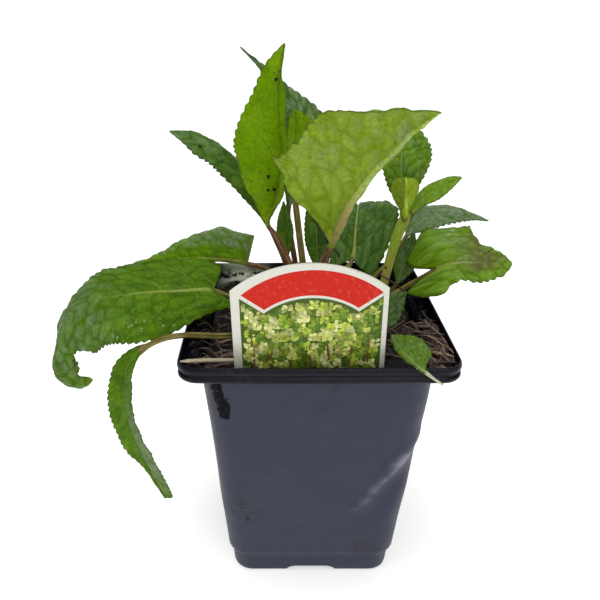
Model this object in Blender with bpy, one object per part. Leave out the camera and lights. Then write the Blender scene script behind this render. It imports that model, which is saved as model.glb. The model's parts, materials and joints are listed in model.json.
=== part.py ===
"""A marsh plant in a square nursery pot, with its soil and a plain plant label.

All sizes and places are in millimetres, measured from the middle of the pot on the plane that
its feet stand on: +X right, +Y to the back, +Z up. They become metres when a mesh is made.
"""

import math
from dataclasses import dataclass

import bmesh
import bpy
import numpy as np
from mathutils import Vector

MM = 0.001
GAP = 0.3

# Pot: half of the outer side at each height, and the radius of its corners
POT_HEIGHT = 100.0
WALL = 1.1
LIP_HALF, LIP_RADIUS, LIP_BOTTOM = 45.0, 6.5, 94.4
BODY_TOP_HALF, BODY_TOP_RADIUS = 38.8, 8.5
BODY_BASE_HALF, BODY_BASE_RADIUS = 31.8, 7.5
STEP_HEIGHT, STEP_DEPTH = 10.8, 1.2
FOOT_HALF, FOOT_ROUNDING = 30.0, 1.2
FLOOR_TOP, CHANNEL_HEIGHT, CHANNEL_WIDTH = 4.2, 2.4, 19.0
DRAIN_RADIUS, DRAIN_REACH = 3.6, 19.0
CORNER_STEPS = 5

# Soil
SOIL_TOP = 92.8
SOIL_BUMP = 0.9
SOIL_RINGS = (0.94, 0.82, 0.66, 0.48, 0.3, 0.14)

# Label: a plate with an arched top, and the stake below it
LABEL_WIDTH, LABEL_THICK = 47.8, 0.7
LABEL_SHOULDER, LABEL_CROWN = 31.6, 40.4
LABEL_FOOT = -5.0
STAKE_WIDTH, STAKE_LENGTH = 15.0, 45.0
LABEL_X, LABEL_ROLL = -3.0, 1.4
ARCH_STEPS = 10

# Sockets in the soil, round every stalk
SOCKET_SPACE, SOCKET_LENGTH = 0.5, 9.5

# Leaves
BLADE_THICK, EDGE_THICK = 0.7, 0.45
PATH_STEPS = 12

# Side shoot and litter
SHOOT_PATH = ((24, 3, 88), (27, 5, 110), (30, 7, 123), (31.4, 7.6, 127.5), (32.4, 8, 130))
SHOOT_RADII = (1.6, 2.5)
TWIG_PATH = ((18.5, -27, 124.2), (28, -12.5, 113.8), (33, -3, 107), (42.4, 14, 97))
TWIG_RADIUS = 0.5
STRAW_PATH = ((-43.4, -42.4, 101.1), (-36, -39, 99.5), (-28, -34.5, 97), (-22, -31.5, 95.2))
STRAW_RADIUS = 0.9
ROOT_PATH = ((31, -41.2, 97), (36.5, -40.6, 97.1), (40.6, -37, 97.1), (41, -28, 97.2),
             (41, -17, 97.1), (41.1, -6, 96.9))
ROOT_RADIUS, ROOT_FLAT = 2.4, 0.5

COLOURS = {
    "pot": (0.024, 0.026, 0.036),
    "soil": (0.018, 0.011, 0.010),
    "label": (0.80, 0.80, 0.76),
    "light leaf": (0.30, 0.44, 0.03),
    "green leaf": (0.14, 0.29, 0.03),
    "dark leaf": (0.07, 0.17, 0.06),
    "stem": (0.34, 0.36, 0.06),
    "dead": (0.30, 0.20, 0.12),
}


@dataclass
class Leaf:
    """One leaf, grown as one piece. Pairs are (left, right) seen from above with the tip away.

    rib     points along the stalk and the midrib, from the soil to the tip
    blade   how many of those points belong to the stalk, so the blade starts at the next
    widths  half widths at even steps from the base of the blade to its tip
    face    directions of the upper side, from the base of the blade to its tip
    fold    angles of the halves at the midrib, upwards positive, from base to tip
    curl    further bend of the halves from the midrib to their margin, from base to tip
    bend    shares of the half width between which that bend happens
    lobe    how far the basal lobes reach back along the stalk
    stalk   radius of the stalk in the soil, and at the blade
    """

    name: str
    rib: tuple
    blade: int
    widths: tuple
    face: tuple
    fold: tuple = ((15, 15),)
    curl: tuple = ((-20, -20),)
    bend: tuple = (0.0, 1.0)
    lobe: tuple = (0.0, 0.0)
    stalk: tuple = (1.2, 0.9)
    colour: str = "green leaf"
    rows: int = 12
    columns: int = 3
    rooted: bool = True


LEAVES = (
    Leaf(
        "leaf_left_back",
        ((-8, 7, 88), (-10, 8, 102), (-16, 9, 110.6), (-26, 13.3, 112), (-34, 17, 112), (-47, 21, 111),
         (-64, 23, 108), (-80, 22, 105)),
        3, ((0.8, 14), (1.2, 15), (3, 16.5), (10, 14.8), (13, 12.5), (11, 7.5), (7.5, 3.5), (4, 1.5),
            (0.4, 0.4)),
        ((0, 0, 1),), ((0, 65), (0, 42), (0, 10)), ((-50, -75), (-50, -60)), bend=(0.5, 0.85),
    ),
    Leaf(
        "leaf_left_front",
        ((-9, 1, 88), (-14, -2, 100), (-28, -8, 107), (-37, -10, 111), (-47, -13, 112), (-60, -17, 113),
         (-72, -20, 112), (-80.2, -21, 107.8), (-85.6, -22, 101.6), (-88.7, -23, 93.2), (-90, -24, 86.5),
         (-87, -25, 82.5), (-81, -26, 81.5), (-76.5, -26, 84.3)),
        3, ((6, 12), (10, 14), (15.5, 15), (17, 15.5), (16, 15), (15.2, 13), (14, 11), (6.8, 9), (9.6, 6),
            (9.6, 3.5), (1, 0.4)),
        ((0, -0.3, 1),), ((-20, 14), (-28, -5), (-38, -20)), ((-24, 0),), lobe=(10, 5), colour="light leaf",
        rows=15,
    ),
    Leaf(
        "leaf_hanging",
        ((-9, -5, 88), (-14, -10, 98), (-29, -18, 97.3), (-44, -26, 101.6), (-53, -27, 100), (-60, -27, 95),
         (-64, -27, 89.5), (-65.5, -27, 83), (-66, -27, 75.5), (-65, -27, 65.5), (-62, -27, 53.5),
         (-58, -27, 42), (-54.5, -27, 33.5)),
        5, ((1.2, 2.8), (4, 4.6), (4.8, 5.6), (5, 6.1), (6, 5.8), (6.4, 5), (6, 1.8), (5.6, 1.1), (3, 0.8)),
        ((-0.4, -0.9, 0),), ((35, 10), (38, 10), (22, 10), (5, 10)), ((0, 0),), rows=14, columns=2,
    ),
    Leaf(
        "leaf_upper_left",
        ((-4, 4, 88), (-9, 4, 112), (-14, 5, 125), (-17, 6, 130.5), (-20.5, 6.5, 136.5), (-24, 7.5, 143),
         (-27, 8.5, 148), (-30, 9.5, 152.5), (-34, 10.5, 155.5), (-39, 12, 157), (-44.5, 13.5, 159),
         (-51, 15, 161)),
        3, ((0.8, 0.8), (1.7, 3.2), (3.5, 3.5), (5.1, 3.8), (6.6, 4.4), (6.3, 4.6), (5.1, 5.2), (2.8, 4.5),
            (0.3, 0.3)),
        ((0.4, -0.5, 0.75),), ((-10, -5),), colour="dark leaf", columns=2,
    ),
    Leaf(
        "leaf_tall",
        ((-5, -2, 88), (-7, -2, 112), (-13, -2, 127), (-16.5, -2, 133), (-13.5, -2, 141), (-12, -2, 149.5),
         (-11.5, -1.5, 158), (-12, -1.5, 166.5), (-12.5, -1, 174), (-12.5, -0.5, 182.5), (-11, 0, 190.5)),
        3, ((0.9, 0.9), (9, 2.5), (13, 4.5), (15.2, 6), (16.2, 6), (13.6, 4.5), (9, 3.2), (5.3, 0.6),
            (0.4, 0.3)),
        ((0.2, -0.95, 0.1),), ((0, 75), (0, 84), (0, 90), (0, 66), (0, 80)), ((0, 0),), colour="light leaf",
    ),
    Leaf(
        "leaf_front",
        ((0, -5, 88), (1, -14, 112), (2, -22, 127), (4, -26, 134), (5.5, -28, 140), (7.5, -33, 148),
         (10, -38.5, 155), (12.5, -46, 162), (15.5, -53, 168), (18.5, -60.5, 174.5), (22.5, -69, 180)),
        3, ((1.1, 1.4), (4.5, 9.2), (7, 19.3), (8.5, 25.5), (9.5, 23.2), (9, 22.4), (6.5, 20.8),
            (2.2, 11.5), (0.2, 0.2)),
        ((0.15, 0.74, 0.57),), ((44, 0),), ((20, 0),), stalk=(1.7, 1.4), colour="light leaf",
    ),
    Leaf(
        "leaf_back_tall",
        ((-2, 8, 88), (-6, 6, 112), (-9, 7, 130), (-9, 8, 136.5), (-7, 10, 145), (-5.5, 12.5, 153),
         (-5.5, 15, 160.5), (-8, 17, 168.5), (-13, 19.5, 175.5), (-18.5, 22, 181.5), (-26, 25, 188)),
        3, ((0.8, 0.8), (4, 6.5), (6.7, 9.8), (8, 11.3), (8, 9.2), (6.3, 4.6), (3, 2.4), (1.1, 0.8),
            (0.2, 0.2)),
        ((0.3, -0.9, 0.3), (0.5, -0.5, 0.7)), ((10, 20),), colour="dark leaf",
    ),
    Leaf(
        "leaf_young",
        ((0, 2, 88), (-4, 2, 117), (-7, 3, 140), (-8, 5, 151), (-8.5, 6, 156), (-7.5, 8, 162.5),
         (-7.5, 9, 169.5)),
        3, ((0.7, 0.8), (1.5, 5.8), (3, 7.5), (4, 8.4), (4, 8.4), (3, 5.5), (0.4, 0.5)),
        ((0, -1, 0.2),), ((55, 5),), ((0, 0),), stalk=(1.4, 1), colour="light leaf", rows=9, columns=2,
    ),
    Leaf(
        "leaf_inner_low",
        ((-6, 1, 88), (-8.3, 1.6, 111), (-9.5, 2, 119), (-10.5, 2, 126), (-11, 2.5, 133), (-11, 3, 139)),
        2, ((0.5, 0.5), (2.6, 2.6), (3.5, 3.5), (2.4, 2.4), (0.2, 0.2)),
        ((0.2, -1, 0.2),), ((30, 30),), ((0, 0),), stalk=(0.9, 0.6), rows=7, columns=2,
    ),
    Leaf(
        "leaf_inner_mid",
        ((4, 5, 88), (2, 6, 112), (1.2, 6, 124), (0.6, 6.6, 133), (0, 7.6, 143)),
        1, ((0.6, 0.6), (3.8, 5.2), (5, 7), (3.8, 5.2), (0.3, 0.3)),
        ((0.1, -1, 0.3),), ((20, 20),), ((0, 0),), stalk=(1.2, 0.8), rows=9, columns=2,
    ),
    Leaf(
        "leaf_back_right",
        ((5, 10, 88), (9, 14, 100), (13.5, 16.5, 107.5), (16.5, 19.5, 112.5), (18, 28, 121), (20, 40, 126),
         (22, 54, 122), (24, 64, 113)),
        3, ((8, 9), (12, 14), (13, 16.5), (12, 15), (10, 12), (7, 8.5), (0.4, 0.4)),
        ((0, -0.2, 1),), ((15, 10),), lobe=(6, 7), colour="dark leaf",
    ),
    Leaf(
        "shoot_leaf_back",
        ((32.4, 9.7, 131), (32.2, 11.2, 136), (31.5, 12.3, 143), (31, 13, 149.5), (31, 14.5, 154.5),
         (31.5, 16.5, 160), (32, 20, 166)),
        1, ((1, 1), (4.6, 5.5), (6.3, 8.6), (7.5, 10.4), (7.5, 9.5), (5.5, 5.2), (0.4, 0.4)),
        ((-0.1, -1, 0.3),), ((15, 15),), ((-10, -10),), stalk=(1.1, 0.9), colour="dark leaf", rows=11,
        columns=2, rooted=False,
    ),
    Leaf(
        "shoot_leaf_front",
        ((32.4, 6.4, 131), (32.2, 4.8, 133), (31.6, 2.5, 138), (30.9, 0.5, 143), (30, -2, 148.5)),
        1, ((1.2, 1.8), (2.4, 4.2), (3.8, 6.2), (5, 7), (5.4, 6.6), (4.4, 5), (0.6, 0.6)),
        ((0.2, 1, 0.6),), ((30, 30),), ((20, 20),), stalk=(1, 0.8), colour="light leaf", rows=7, columns=2,
        rooted=False,
    ),
    Leaf(
        "shoot_leaf_right",
        ((34.5, 8.1, 131), (35.5, 7.6, 134), (38.5, 5.7, 139.5), (44, 3.5, 144), (49.5, 1, 148)),
        1, ((1.4, 1.6), (2.4, 2.5), (3.1, 3.4), (3.4, 4), (3, 3.6), (2.2, 2.4), (0.3, 0.3)),
        ((-0.5, -0.2, 0.8),), ((30, -15),), ((-10, -10),), stalk=(1, 0.8), colour="light leaf", rows=9,
        columns=2, rooted=False,
    ),
    Leaf(
        "leaf_grey",
        ((9, 9, 88), (22, 11, 105), (31, 12, 115), (35.5, 14, 123), (40, 15.5, 127.5), (47, 17.5, 129.5),
         (54, 19.5, 129), (60.5, 21, 127.5), (68, 22, 126)),
        3, ((1, 1), (6.2, 4.9), (8.9, 5.4), (8.9, 5), (8, 3.4), (4.6, 1.2), (0.3, 0.3)),
        ((0, -0.3, 1),), ((0, 10),), ((-30, -30),), colour="dark leaf", columns=2,
    ),
    Leaf(
        "leaf_right",
        ((8, -1, 88), (20, 0.2, 99.4), (28, 0.2, 104), (34.6, 0.6, 108.1), (43.5, -7.5, 118.5),
         (48.5, -8.5, 120.5), (54, -9.5, 121), (60.5, -10.5, 121.5), (66.5, -11.5, 121.5)),
        4, ((8, 4.5), (15.5, 10.6), (15, 7.3), (16.4, 6.9), (18, 7.6), (11, 7.3), (9.2, 6.4), (7, 4.8),
            (0.6, 0.5)),
        ((0, -0.3, 1),), ((45, -20), (10, -20)), ((-20, -40),), lobe=(13, 15.5), colour="light leaf",
    ),
    Leaf(
        "leaf_low_right",
        ((12, -8, 88), (20, -9, 96), (28, -12, 106), (31, -14, 112)),
        1, ((1.2, 1.2), (4.6, 4.6), (6, 6), (4.2, 4.2), (0.3, 0.3)),
        ((-0.3, -0.5, 0.8),), ((10, 10),), stalk=(1.1, 0.8), colour="dark leaf", rows=9, columns=2,
    ),
    Leaf(
        "leaf_low_mid",
        ((13, 6.5, 88), (24, 9.5, 97), (30, 9.2, 102), (32.2, 8, 106.5), (34, 8, 113), (35.6, 8.4, 119.5),
         (37, 9, 125.5)),
        3, ((0.9, 0.9), (3, 3), (4.2, 4.2), (3.8, 3.8), (2.2, 2.2), (0.3, 0.3)),
        ((0, -0.7, 0.7),), ((10, 10),), ((-10, -10),), stalk=(1, 0.7), colour="dark leaf", rows=9,
        columns=2,
    ),
    Leaf(
        "fallen_leaf",
        ((37.2, -47.4, 95.8), (31.2, -47.7, 100.3), (28, -45, 102.2), (25, -40.5, 104.5), (23, -34.5, 106)),
        1, ((0.5, 1), (1.4, 6.6), (2.3, 8.4), (3, 8.6), (2.8, 8.7), (1.9, 7), (0.5, 1)),
        ((0.4, -0.5, 0.8),), ((20, 5),), ((0, 0),), stalk=(0.4, 0.35), rows=9, columns=2, rooted=False,
    ),
)


def unit(vector):
    vector = np.asarray(vector, float)
    return vector / np.linalg.norm(vector, axis=-1, keepdims=True)


def smooth_path(points):
    """A Catmull-Rom curve through the points, and the length along it at each of its steps."""
    points = np.array(points, float)
    padded = np.vstack([2 * points[0] - points[1], points, 2 * points[-1] - points[-2]])
    curve = []
    for i in range(len(points) - 1):
        a, b, c, d = padded[i : i + 4]
        for t in np.arange(PATH_STEPS) / PATH_STEPS:
            square = (a - 2.5 * b + 2 * c - d / 2) * t**2
            cube = (1.5 * (b - c) + (d - a) / 2) * t**3
            curve.append(b + (c - a) * t / 2 + square + cube)
    curve.append(points[-1])
    curve = np.array(curve)
    length = np.concatenate([[0], np.cumsum(np.linalg.norm(np.diff(curve, axis=0), axis=1))])
    return curve, length


def at(curve, length, where):
    """Points of the curve at the given lengths along it."""
    return np.stack([np.interp(where, length, curve[:, axis]) for axis in range(3)], axis=-1)


def ahead_at(curve, length, where):
    """Directions of the curve at the given lengths along it."""
    before, after = np.maximum(where - 0.5, 0), np.minimum(where + 0.5, length[-1])
    return unit(at(curve, length, after) - at(curve, length, before))


def add_mesh(name, points, faces, colour, roughness=0.5, smooth=True):
    mesh = bpy.data.meshes.new(name)
    mesh.from_pydata((np.asarray(points, float) * MM).tolist(), [], faces)
    mesh.validate()
    if smooth:
        mesh.shade_smooth()
        mesh.set_sharp_from_angle(angle=math.radians(40))
    obj = bpy.data.objects.new(name, mesh)
    bpy.context.scene.collection.objects.link(obj)
    obj.data.materials.append(plain_material(colour, roughness))
    return obj


def plain_material(colour, roughness):
    material = bpy.data.materials.get(colour)
    if material is None:
        material = bpy.data.materials.new(colour)
        material.use_nodes = True
        shader = material.node_tree.nodes["Principled BSDF"]
        shader.inputs["Base Color"].default_value = (*COLOURS[colour], 1)
        shader.inputs["Roughness"].default_value = roughness
        shader.inputs["Metallic"].default_value = 0
    return material


def skin(rings):
    """Points and faces of a closed tube through rings of as many points each, capped at both ends."""
    count = len(rings[0])
    points = np.vstack(rings)
    faces = [tuple(range(count - 1, -1, -1))]
    for row in range(len(rings) - 1):
        for i in range(count):
            j = (i + 1) % count
            first, second = row * count, (row + 1) * count
            faces.append((first + i, first + j, second + j, second + i))
    last = (len(rings) - 1) * count
    faces.append(tuple(range(last, last + count)))
    return points, faces


def tube(points, radii, where, sides=8, high=(0, 0, 1), flat=1.0, run_in=0.0):
    """Points and faces of a tube along a smooth path, with a radius at each of the lengths along it."""
    curve, length = smooth_path(points)
    place, ahead = at(curve, length, where), ahead_at(curve, length, where)
    place[0] -= run_in * ahead[0]
    up = unit(np.array(high, float) - (ahead @ np.array(high, float))[:, None] * ahead)
    side = np.cross(up, ahead)
    angles = math.tau * (0.5 + np.arange(sides)) / sides
    rings = [
        p + radius * (np.outer(np.cos(angles), across) + flat * np.outer(np.sin(angles), above))
        for p, radius, across, above in zip(place, np.broadcast_to(radii, len(where)), side, up)
    ]
    return skin(rings)


def path_length(points):
    return smooth_path(points)[1][-1]


def rounded_square(half, radius, height, steps=CORNER_STEPS):
    """A ring of points round a square with round corners, counter-clockwise from above."""
    ring = []
    for corner in range(4):
        middle = math.radians(45 + 90 * corner)
        centre = (half - radius) * math.sqrt(2) * np.array([math.cos(middle), math.sin(middle)])
        for step in range(steps):
            angle = math.radians(90 * corner + 90 * step / (steps - 1))
            ring.append((*(centre + radius * np.array([math.cos(angle), math.sin(angle)])), height))
    return np.array(ring)


def body_half(height):
    """Half of the pot's outer side and its corner radius at a height between the step and the lip."""
    share = (height - STEP_HEIGHT) / (LIP_BOTTOM - STEP_HEIGHT)
    half = BODY_BASE_HALF + share * (BODY_TOP_HALF - BODY_BASE_HALF)
    radius = BODY_BASE_RADIUS + share * (BODY_TOP_RADIUS - BODY_BASE_RADIUS)
    return half, radius


def inner_half(height):
    """Half of the pot's inner side and its corner radius, straight from the floor to the ledge."""
    share = (height - FLOOR_TOP) / (LIP_BOTTOM - FLOOR_TOP)
    base = BODY_BASE_HALF - WALL - STEP_DEPTH
    half = base + share * (BODY_TOP_HALF - WALL - base)
    radius = BODY_BASE_RADIUS - WALL + share * (BODY_TOP_RADIUS - BODY_BASE_RADIUS)
    return half, radius


def cut(obj, cutter):
    cutter.hide_render = True
    cutter.display_type = "WIRE"
    modifier = obj.modifiers.new("cut by " + cutter.name, "BOOLEAN")
    modifier.operation = "DIFFERENCE"
    modifier.solver = "EXACT"
    modifier.object = cutter


def make_pot():
    ledge = LIP_BOTTOM + WALL
    rings = [
        rounded_square(FOOT_HALF - FOOT_ROUNDING, BODY_BASE_RADIUS - FOOT_ROUNDING, 0),
        rounded_square(FOOT_HALF, BODY_BASE_RADIUS, FOOT_ROUNDING),
        rounded_square(BODY_BASE_HALF - STEP_DEPTH, BODY_BASE_RADIUS, STEP_HEIGHT - STEP_DEPTH),
        rounded_square(BODY_BASE_HALF, BODY_BASE_RADIUS, STEP_HEIGHT),
        rounded_square(*body_half(LIP_BOTTOM - 1), LIP_BOTTOM - 1),
        rounded_square(BODY_TOP_HALF + 1, BODY_TOP_RADIUS, LIP_BOTTOM),
        rounded_square(LIP_HALF - 0.8, LIP_RADIUS, LIP_BOTTOM),
        rounded_square(LIP_HALF, LIP_RADIUS, LIP_BOTTOM + 0.8),
        rounded_square(LIP_HALF, LIP_RADIUS, POT_HEIGHT - 0.4),
        rounded_square(LIP_HALF - 0.4, LIP_RADIUS, POT_HEIGHT),
        rounded_square(LIP_HALF - WALL, LIP_RADIUS - WALL, POT_HEIGHT),
        rounded_square(LIP_HALF - WALL, LIP_RADIUS - WALL, ledge + 0.4),
        rounded_square(BODY_TOP_HALF, BODY_TOP_RADIUS - WALL, ledge),
        rounded_square(*inner_half(LIP_BOTTOM), LIP_BOTTOM),
        rounded_square(*inner_half(FLOOR_TOP), FLOOR_TOP),
    ]
    pot = add_mesh("pot", *skin(rings), "pot", 0.4)

    # Two channels cross under the floor and leave a foot at each corner
    for turn, name in ((0, "channel_x"), (90, "channel_y")):
        half = CHANNEL_WIDTH / 2
        outline = [(-half, -2), (half, -2), (half - 1.5, CHANNEL_HEIGHT - 0.8), (half - 4, CHANNEL_HEIGHT),
                   (4 - half, CHANNEL_HEIGHT), (1.5 - half, CHANNEL_HEIGHT - 0.8)]
        ends = [np.array([(side * 40, across, up) for across, up in outline]) for side in (-1, 1)]
        channel = add_mesh(name, *skin(ends), "pot", smooth=False)
        channel.rotation_euler.z = math.radians(turn)
        cut(pot, channel)

    # Drainage holes: one in the middle and one in each arm of the cross
    angles = np.radians(np.arange(12) * 30)
    for number, (x, y) in enumerate(((0, 0), (1, 0), (0, 1), (-1, 0), (0, -1))):
        rings = [
            np.stack([DRAIN_REACH * x + DRAIN_RADIUS * np.cos(angles),
                      DRAIN_REACH * y + DRAIN_RADIUS * np.sin(angles), np.full(len(angles), height)], 1)
            for height in (-1, FLOOR_TOP + 1)
        ]
        cut(pot, add_mesh(f"drain_{number}", *skin(rings), "pot", smooth=False))


def bump(x, y):
    """Height of the soil's lumps."""
    return SOIL_BUMP * (
        0.5 * math.sin(0.31 * x + 1.1) * math.cos(0.27 * y - 0.4)
        + 0.3 * math.sin(0.55 * x - 0.21 * y)
        + 0.2 * math.cos(0.19 * x + 0.63 * y + 0.8)
    )


def make_soil():
    base, base_radius = np.array(inner_half(FLOOR_TOP)) - GAP
    edge, edge_radius = np.array(inner_half(SOIL_TOP - 1)) - GAP
    rings = [
        rounded_square(base, base_radius, FLOOR_TOP + GAP),
        rounded_square(edge, edge_radius, SOIL_TOP - 1),
    ]
    for share in SOIL_RINGS:
        ring = rounded_square(share * edge, share * edge_radius, SOIL_TOP)
        for point in ring:
            point[2] += bump(point[0], point[1])
        rings.append(ring)
    return add_mesh("soil", *skin(rings), "soil", 0.9)


def label_outline(grow=0.0):
    """The label seen from the front, counter-clockwise, with its lower corners at LABEL_FOOT."""
    half = LABEL_WIDTH / 2 + grow
    rise = LABEL_CROWN - LABEL_SHOULDER
    radius = (half * half + rise * rise) / (2 * rise)
    reach = math.asin(half / radius)
    stake = STAKE_WIDTH / 2 + grow
    tip = LABEL_FOOT - STAKE_LENGTH - grow
    points = [(-0.4 * stake, tip), (0.4 * stake, tip), (stake, LABEL_FOOT - 2), (half - 2, LABEL_FOOT - grow),
              (half, LABEL_FOOT + 2)]
    for step in range(ARCH_STEPS + 1):
        angle = reach * (1 - 2 * step / ARCH_STEPS)
        points.append((radius * math.sin(angle), LABEL_CROWN + grow - radius + radius * math.cos(angle)))
    points += [(-half, LABEL_FOOT + 2), (2 - half, LABEL_FOOT - grow), (-stake, LABEL_FOOT - 2)]
    return points


def place_label(obj):
    """Stands the plate in the soil along the front wall, at the wall's slope."""
    wall = inner_half(SOIL_TOP)[0]
    slope = math.atan((wall - inner_half(FLOOR_TOP)[0]) / (SOIL_TOP - FLOOR_TOP))
    obj.location = (LABEL_X * MM, -(wall - GAP - LABEL_THICK / 2) * MM, SOIL_TOP * MM)
    obj.rotation_euler = (slope, math.radians(-LABEL_ROLL), 0)


def make_label(soil):
    ends = [np.array([(x, y, z) for x, z in label_outline()]) for y in (LABEL_THICK / 2, -LABEL_THICK / 2)]
    place_label(add_mesh("label", *skin(ends), "label", 0.35, smooth=False))
    ends = [np.array([(x, y, z) for x, z in label_outline(GAP)]) for y in (LABEL_THICK / 2 + GAP, -4)]
    slot = add_mesh("label_slot", *skin(ends), "soil", smooth=False)
    place_label(slot)
    cut(soil, slot)


def leaf_frames(leaf):
    """Stations of the leaf: place, direction, upper side, and share of the blade, below 0 on the stalk."""
    curve, length = smooth_path(leaf.rib)
    start = length[leaf.blade * PATH_STEPS]
    stalk = np.linspace(0, start, 2 + round(start / 9), endpoint=False)
    share = np.linspace(0, 1, leaf.rows)
    blade = start + (length[-1] - start) * (0.5 - 0.5 * np.cos(math.pi * share)) ** 0.9
    where = np.concatenate([stalk, blade])
    place, ahead = at(curve, length, where), ahead_at(curve, length, where)
    along = (where - start) / (length[-1] - start)
    wanted = eased(leaf.face, along)
    return place, ahead, carried(ahead, wanted, along, len(leaf.face) > 1), along


def eased(values, along):
    """Values given evenly along the blade, read at every station."""
    values = np.array(values, float)
    spots = np.linspace(0, 1, len(values)) if len(values) > 1 else np.zeros(1)
    return np.stack([np.interp(np.clip(along, 0, 1), spots, column) for column in values.T], 1)


def carried(ahead, wanted, along, follow):
    """Upper side at each station: turned with the rib from the blade's base, or led by the given ones."""
    first = int(np.argmax(along >= 0))
    up = np.zeros_like(ahead)
    up[first] = unit(wanted[first] - wanted[first] @ ahead[first] * ahead[first])
    for order in (range(first + 1, len(ahead)), range(first - 1, -1, -1)):
        last = first
        for i in order:
            base = wanted[i] if follow and along[i] > 0 else up[last]
            up[i] = unit(base - base @ ahead[i] * ahead[i])
            last = i
    return up


def blade_widths(leaf, along):
    """Left and right half width at every station, on a smooth curve through the given ones."""
    spots = np.linspace(0, 1, len(leaf.widths))
    curve, _ = smooth_path(np.column_stack([spots, leaf.widths]))
    return np.stack([np.interp(along, curve[:, 0], curve[:, hand]) for hand in (1, 2)], 1)


def stalk_ring(leaf, radius, place, up, left):
    """A round ring with as many points as the blade's rings have."""
    angles = math.pi * (0.5 + np.arange(4 * leaf.columns + 2)) / (2 * leaf.columns + 1)
    return place + radius * (np.outer(np.cos(angles), left) + np.outer(np.sin(angles), up))


def blade_ring(leaf, place, ahead, up, left, t, widths, fold, curl):
    """A thin bent section through the blade, with the midrib's ridge on its underside."""
    least = leaf.stalk[1] * (1 - t)
    upper, lower = [], []
    for column in range(-leaf.columns, leaf.columns + 1):
        hand, sign = (0, 1) if column < 0 else (1, -1)
        u = abs(column) / leaf.columns
        turn = np.clip((np.linspace(0, u, 17) - leaf.bend[0]) / (leaf.bend[1] - leaf.bend[0]), 0, 1)
        angles = np.radians(fold[hand] + curl[hand] * turn)
        reach = u * max(widths[hand], 0.3 + least)
        back = leaf.lobe[hand] * max(0.0, 1 - t / 0.35) ** 2 * (1 - (1 - u) ** 2.2)
        out, rise = reach * np.mean(np.cos(angles)), reach * np.mean(np.sin(angles))
        spot = place + sign * out * left + rise * up - back * ahead
        tilt = angles[-1] if column else 0.0
        normal = unit(-sign * math.sin(tilt) * left + math.cos(tilt) * up)
        thick = BLADE_THICK + u * (EDGE_THICK - BLADE_THICK)
        ridge = 0 if column else 1.2 * least
        upper.append(spot + normal * thick / 2)
        lower.append(spot - normal * (thick / 2 + ridge))
    return np.array(upper + lower[::-1])


def leaf_rings(leaf):
    place, ahead, up, along = leaf_frames(leaf)
    left = np.cross(up, ahead)
    widths, fold, curl = blade_widths(leaf, along), eased(leaf.fold, along), eased(leaf.curl, along)
    rings = []
    for i, t in enumerate(along):
        if t < 0:
            radius = leaf.stalk[0] + (1 + t / abs(along[0])) * (leaf.stalk[1] - leaf.stalk[0])
            rings.append(stalk_ring(leaf, radius, place[i], up[i], left[i]))
        else:
            rings.append(blade_ring(leaf, place[i], ahead[i], up[i], left[i], t, widths[i], fold[i], curl[i]))
    return rings


def face_out(obj):
    mesh = bmesh.new()
    mesh.from_mesh(obj.data)
    bmesh.ops.recalc_face_normals(mesh, faces=mesh.faces)
    mesh.to_mesh(obj.data)
    mesh.free()
    return obj


def make_leaf(leaf):
    return face_out(add_mesh(leaf.name, *skin(leaf_rings(leaf)), leaf.colour, 0.4))


def make_socket(name, rib, radius, soil):
    """A hole in the soil that leaves a little space round a stalk."""
    where = np.linspace(0, SOCKET_LENGTH, 3)
    points, faces = tube(rib, radius + SOCKET_SPACE, where, high=(0, 1, 0), run_in=2 * SOCKET_SPACE)
    cut(soil, face_out(add_mesh("socket_" + name, points, faces, "soil", smooth=False)))


def make_shoot():
    """A square side shoot. Its leaves stand on its cut-square top."""
    where = np.linspace(0, path_length(SHOOT_PATH), 7)
    radii = np.interp(where, (0, where[-1]), SHOOT_RADII)
    return face_out(add_mesh("shoot", *tube(SHOOT_PATH, radii, where, 4, (0, 1, 0)), "stem", 0.4))


def make_litter():
    """The dead twig, the dry stalk on the rim and the heap of old roots on the ledge."""
    for name, path, radius in (("twig", TWIG_PATH, TWIG_RADIUS), ("straw", STRAW_PATH, STRAW_RADIUS)):
        where = np.linspace(0, path_length(path), 9)
        face_out(add_mesh(name, *tube(path, radius, where, 6), "dead", 0.8))
    where = np.linspace(0, path_length(ROOT_PATH), 12)
    lumps = ROOT_RADIUS * (0.82 + 0.18 * np.cos(1.1 * where))
    lumps[[0, -1]] *= 0.5
    face_out(add_mesh("root_mat", *tube(ROOT_PATH, lumps, where, 8, flat=ROOT_FLAT), "dead", 0.9))


def centre_on_footprint():
    """Moves the whole plant so that the middle of its bounding box from above is the origin."""
    bpy.context.view_layer.update()
    parts = [obj for obj in bpy.context.scene.objects if not obj.hide_render]
    corners = np.array([obj.matrix_world @ Vector(corner) for obj in parts for corner in obj.bound_box])
    middle = (corners.min(axis=0) + corners.max(axis=0)) / 2
    for obj in bpy.context.scene.objects:
        obj.location.x -= middle[0]
        obj.location.y -= middle[1]


def main():
    for obj in list(bpy.data.objects):
        bpy.data.objects.remove(obj)
    make_pot()
    soil = make_soil()
    make_label(soil)
    for leaf in LEAVES:
        make_leaf(leaf)
        if leaf.rooted:
            make_socket(leaf.name, leaf.rib, leaf.stalk[0], soil)
    make_shoot()
    make_socket("shoot", SHOOT_PATH, SHOOT_RADII[0], soil)
    make_litter()
    centre_on_footprint()


main()
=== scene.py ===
"""The looks of a marsh plant in a square nursery pot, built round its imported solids.

Sizes and places are in millimetres, measured from the middle of the pot on the plane that its feet
stand on: +X right, +Y to the back, +Z up. make_object moves them to the frame and turns them into metres.
"""

import json
import math
from dataclasses import dataclass

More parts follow.
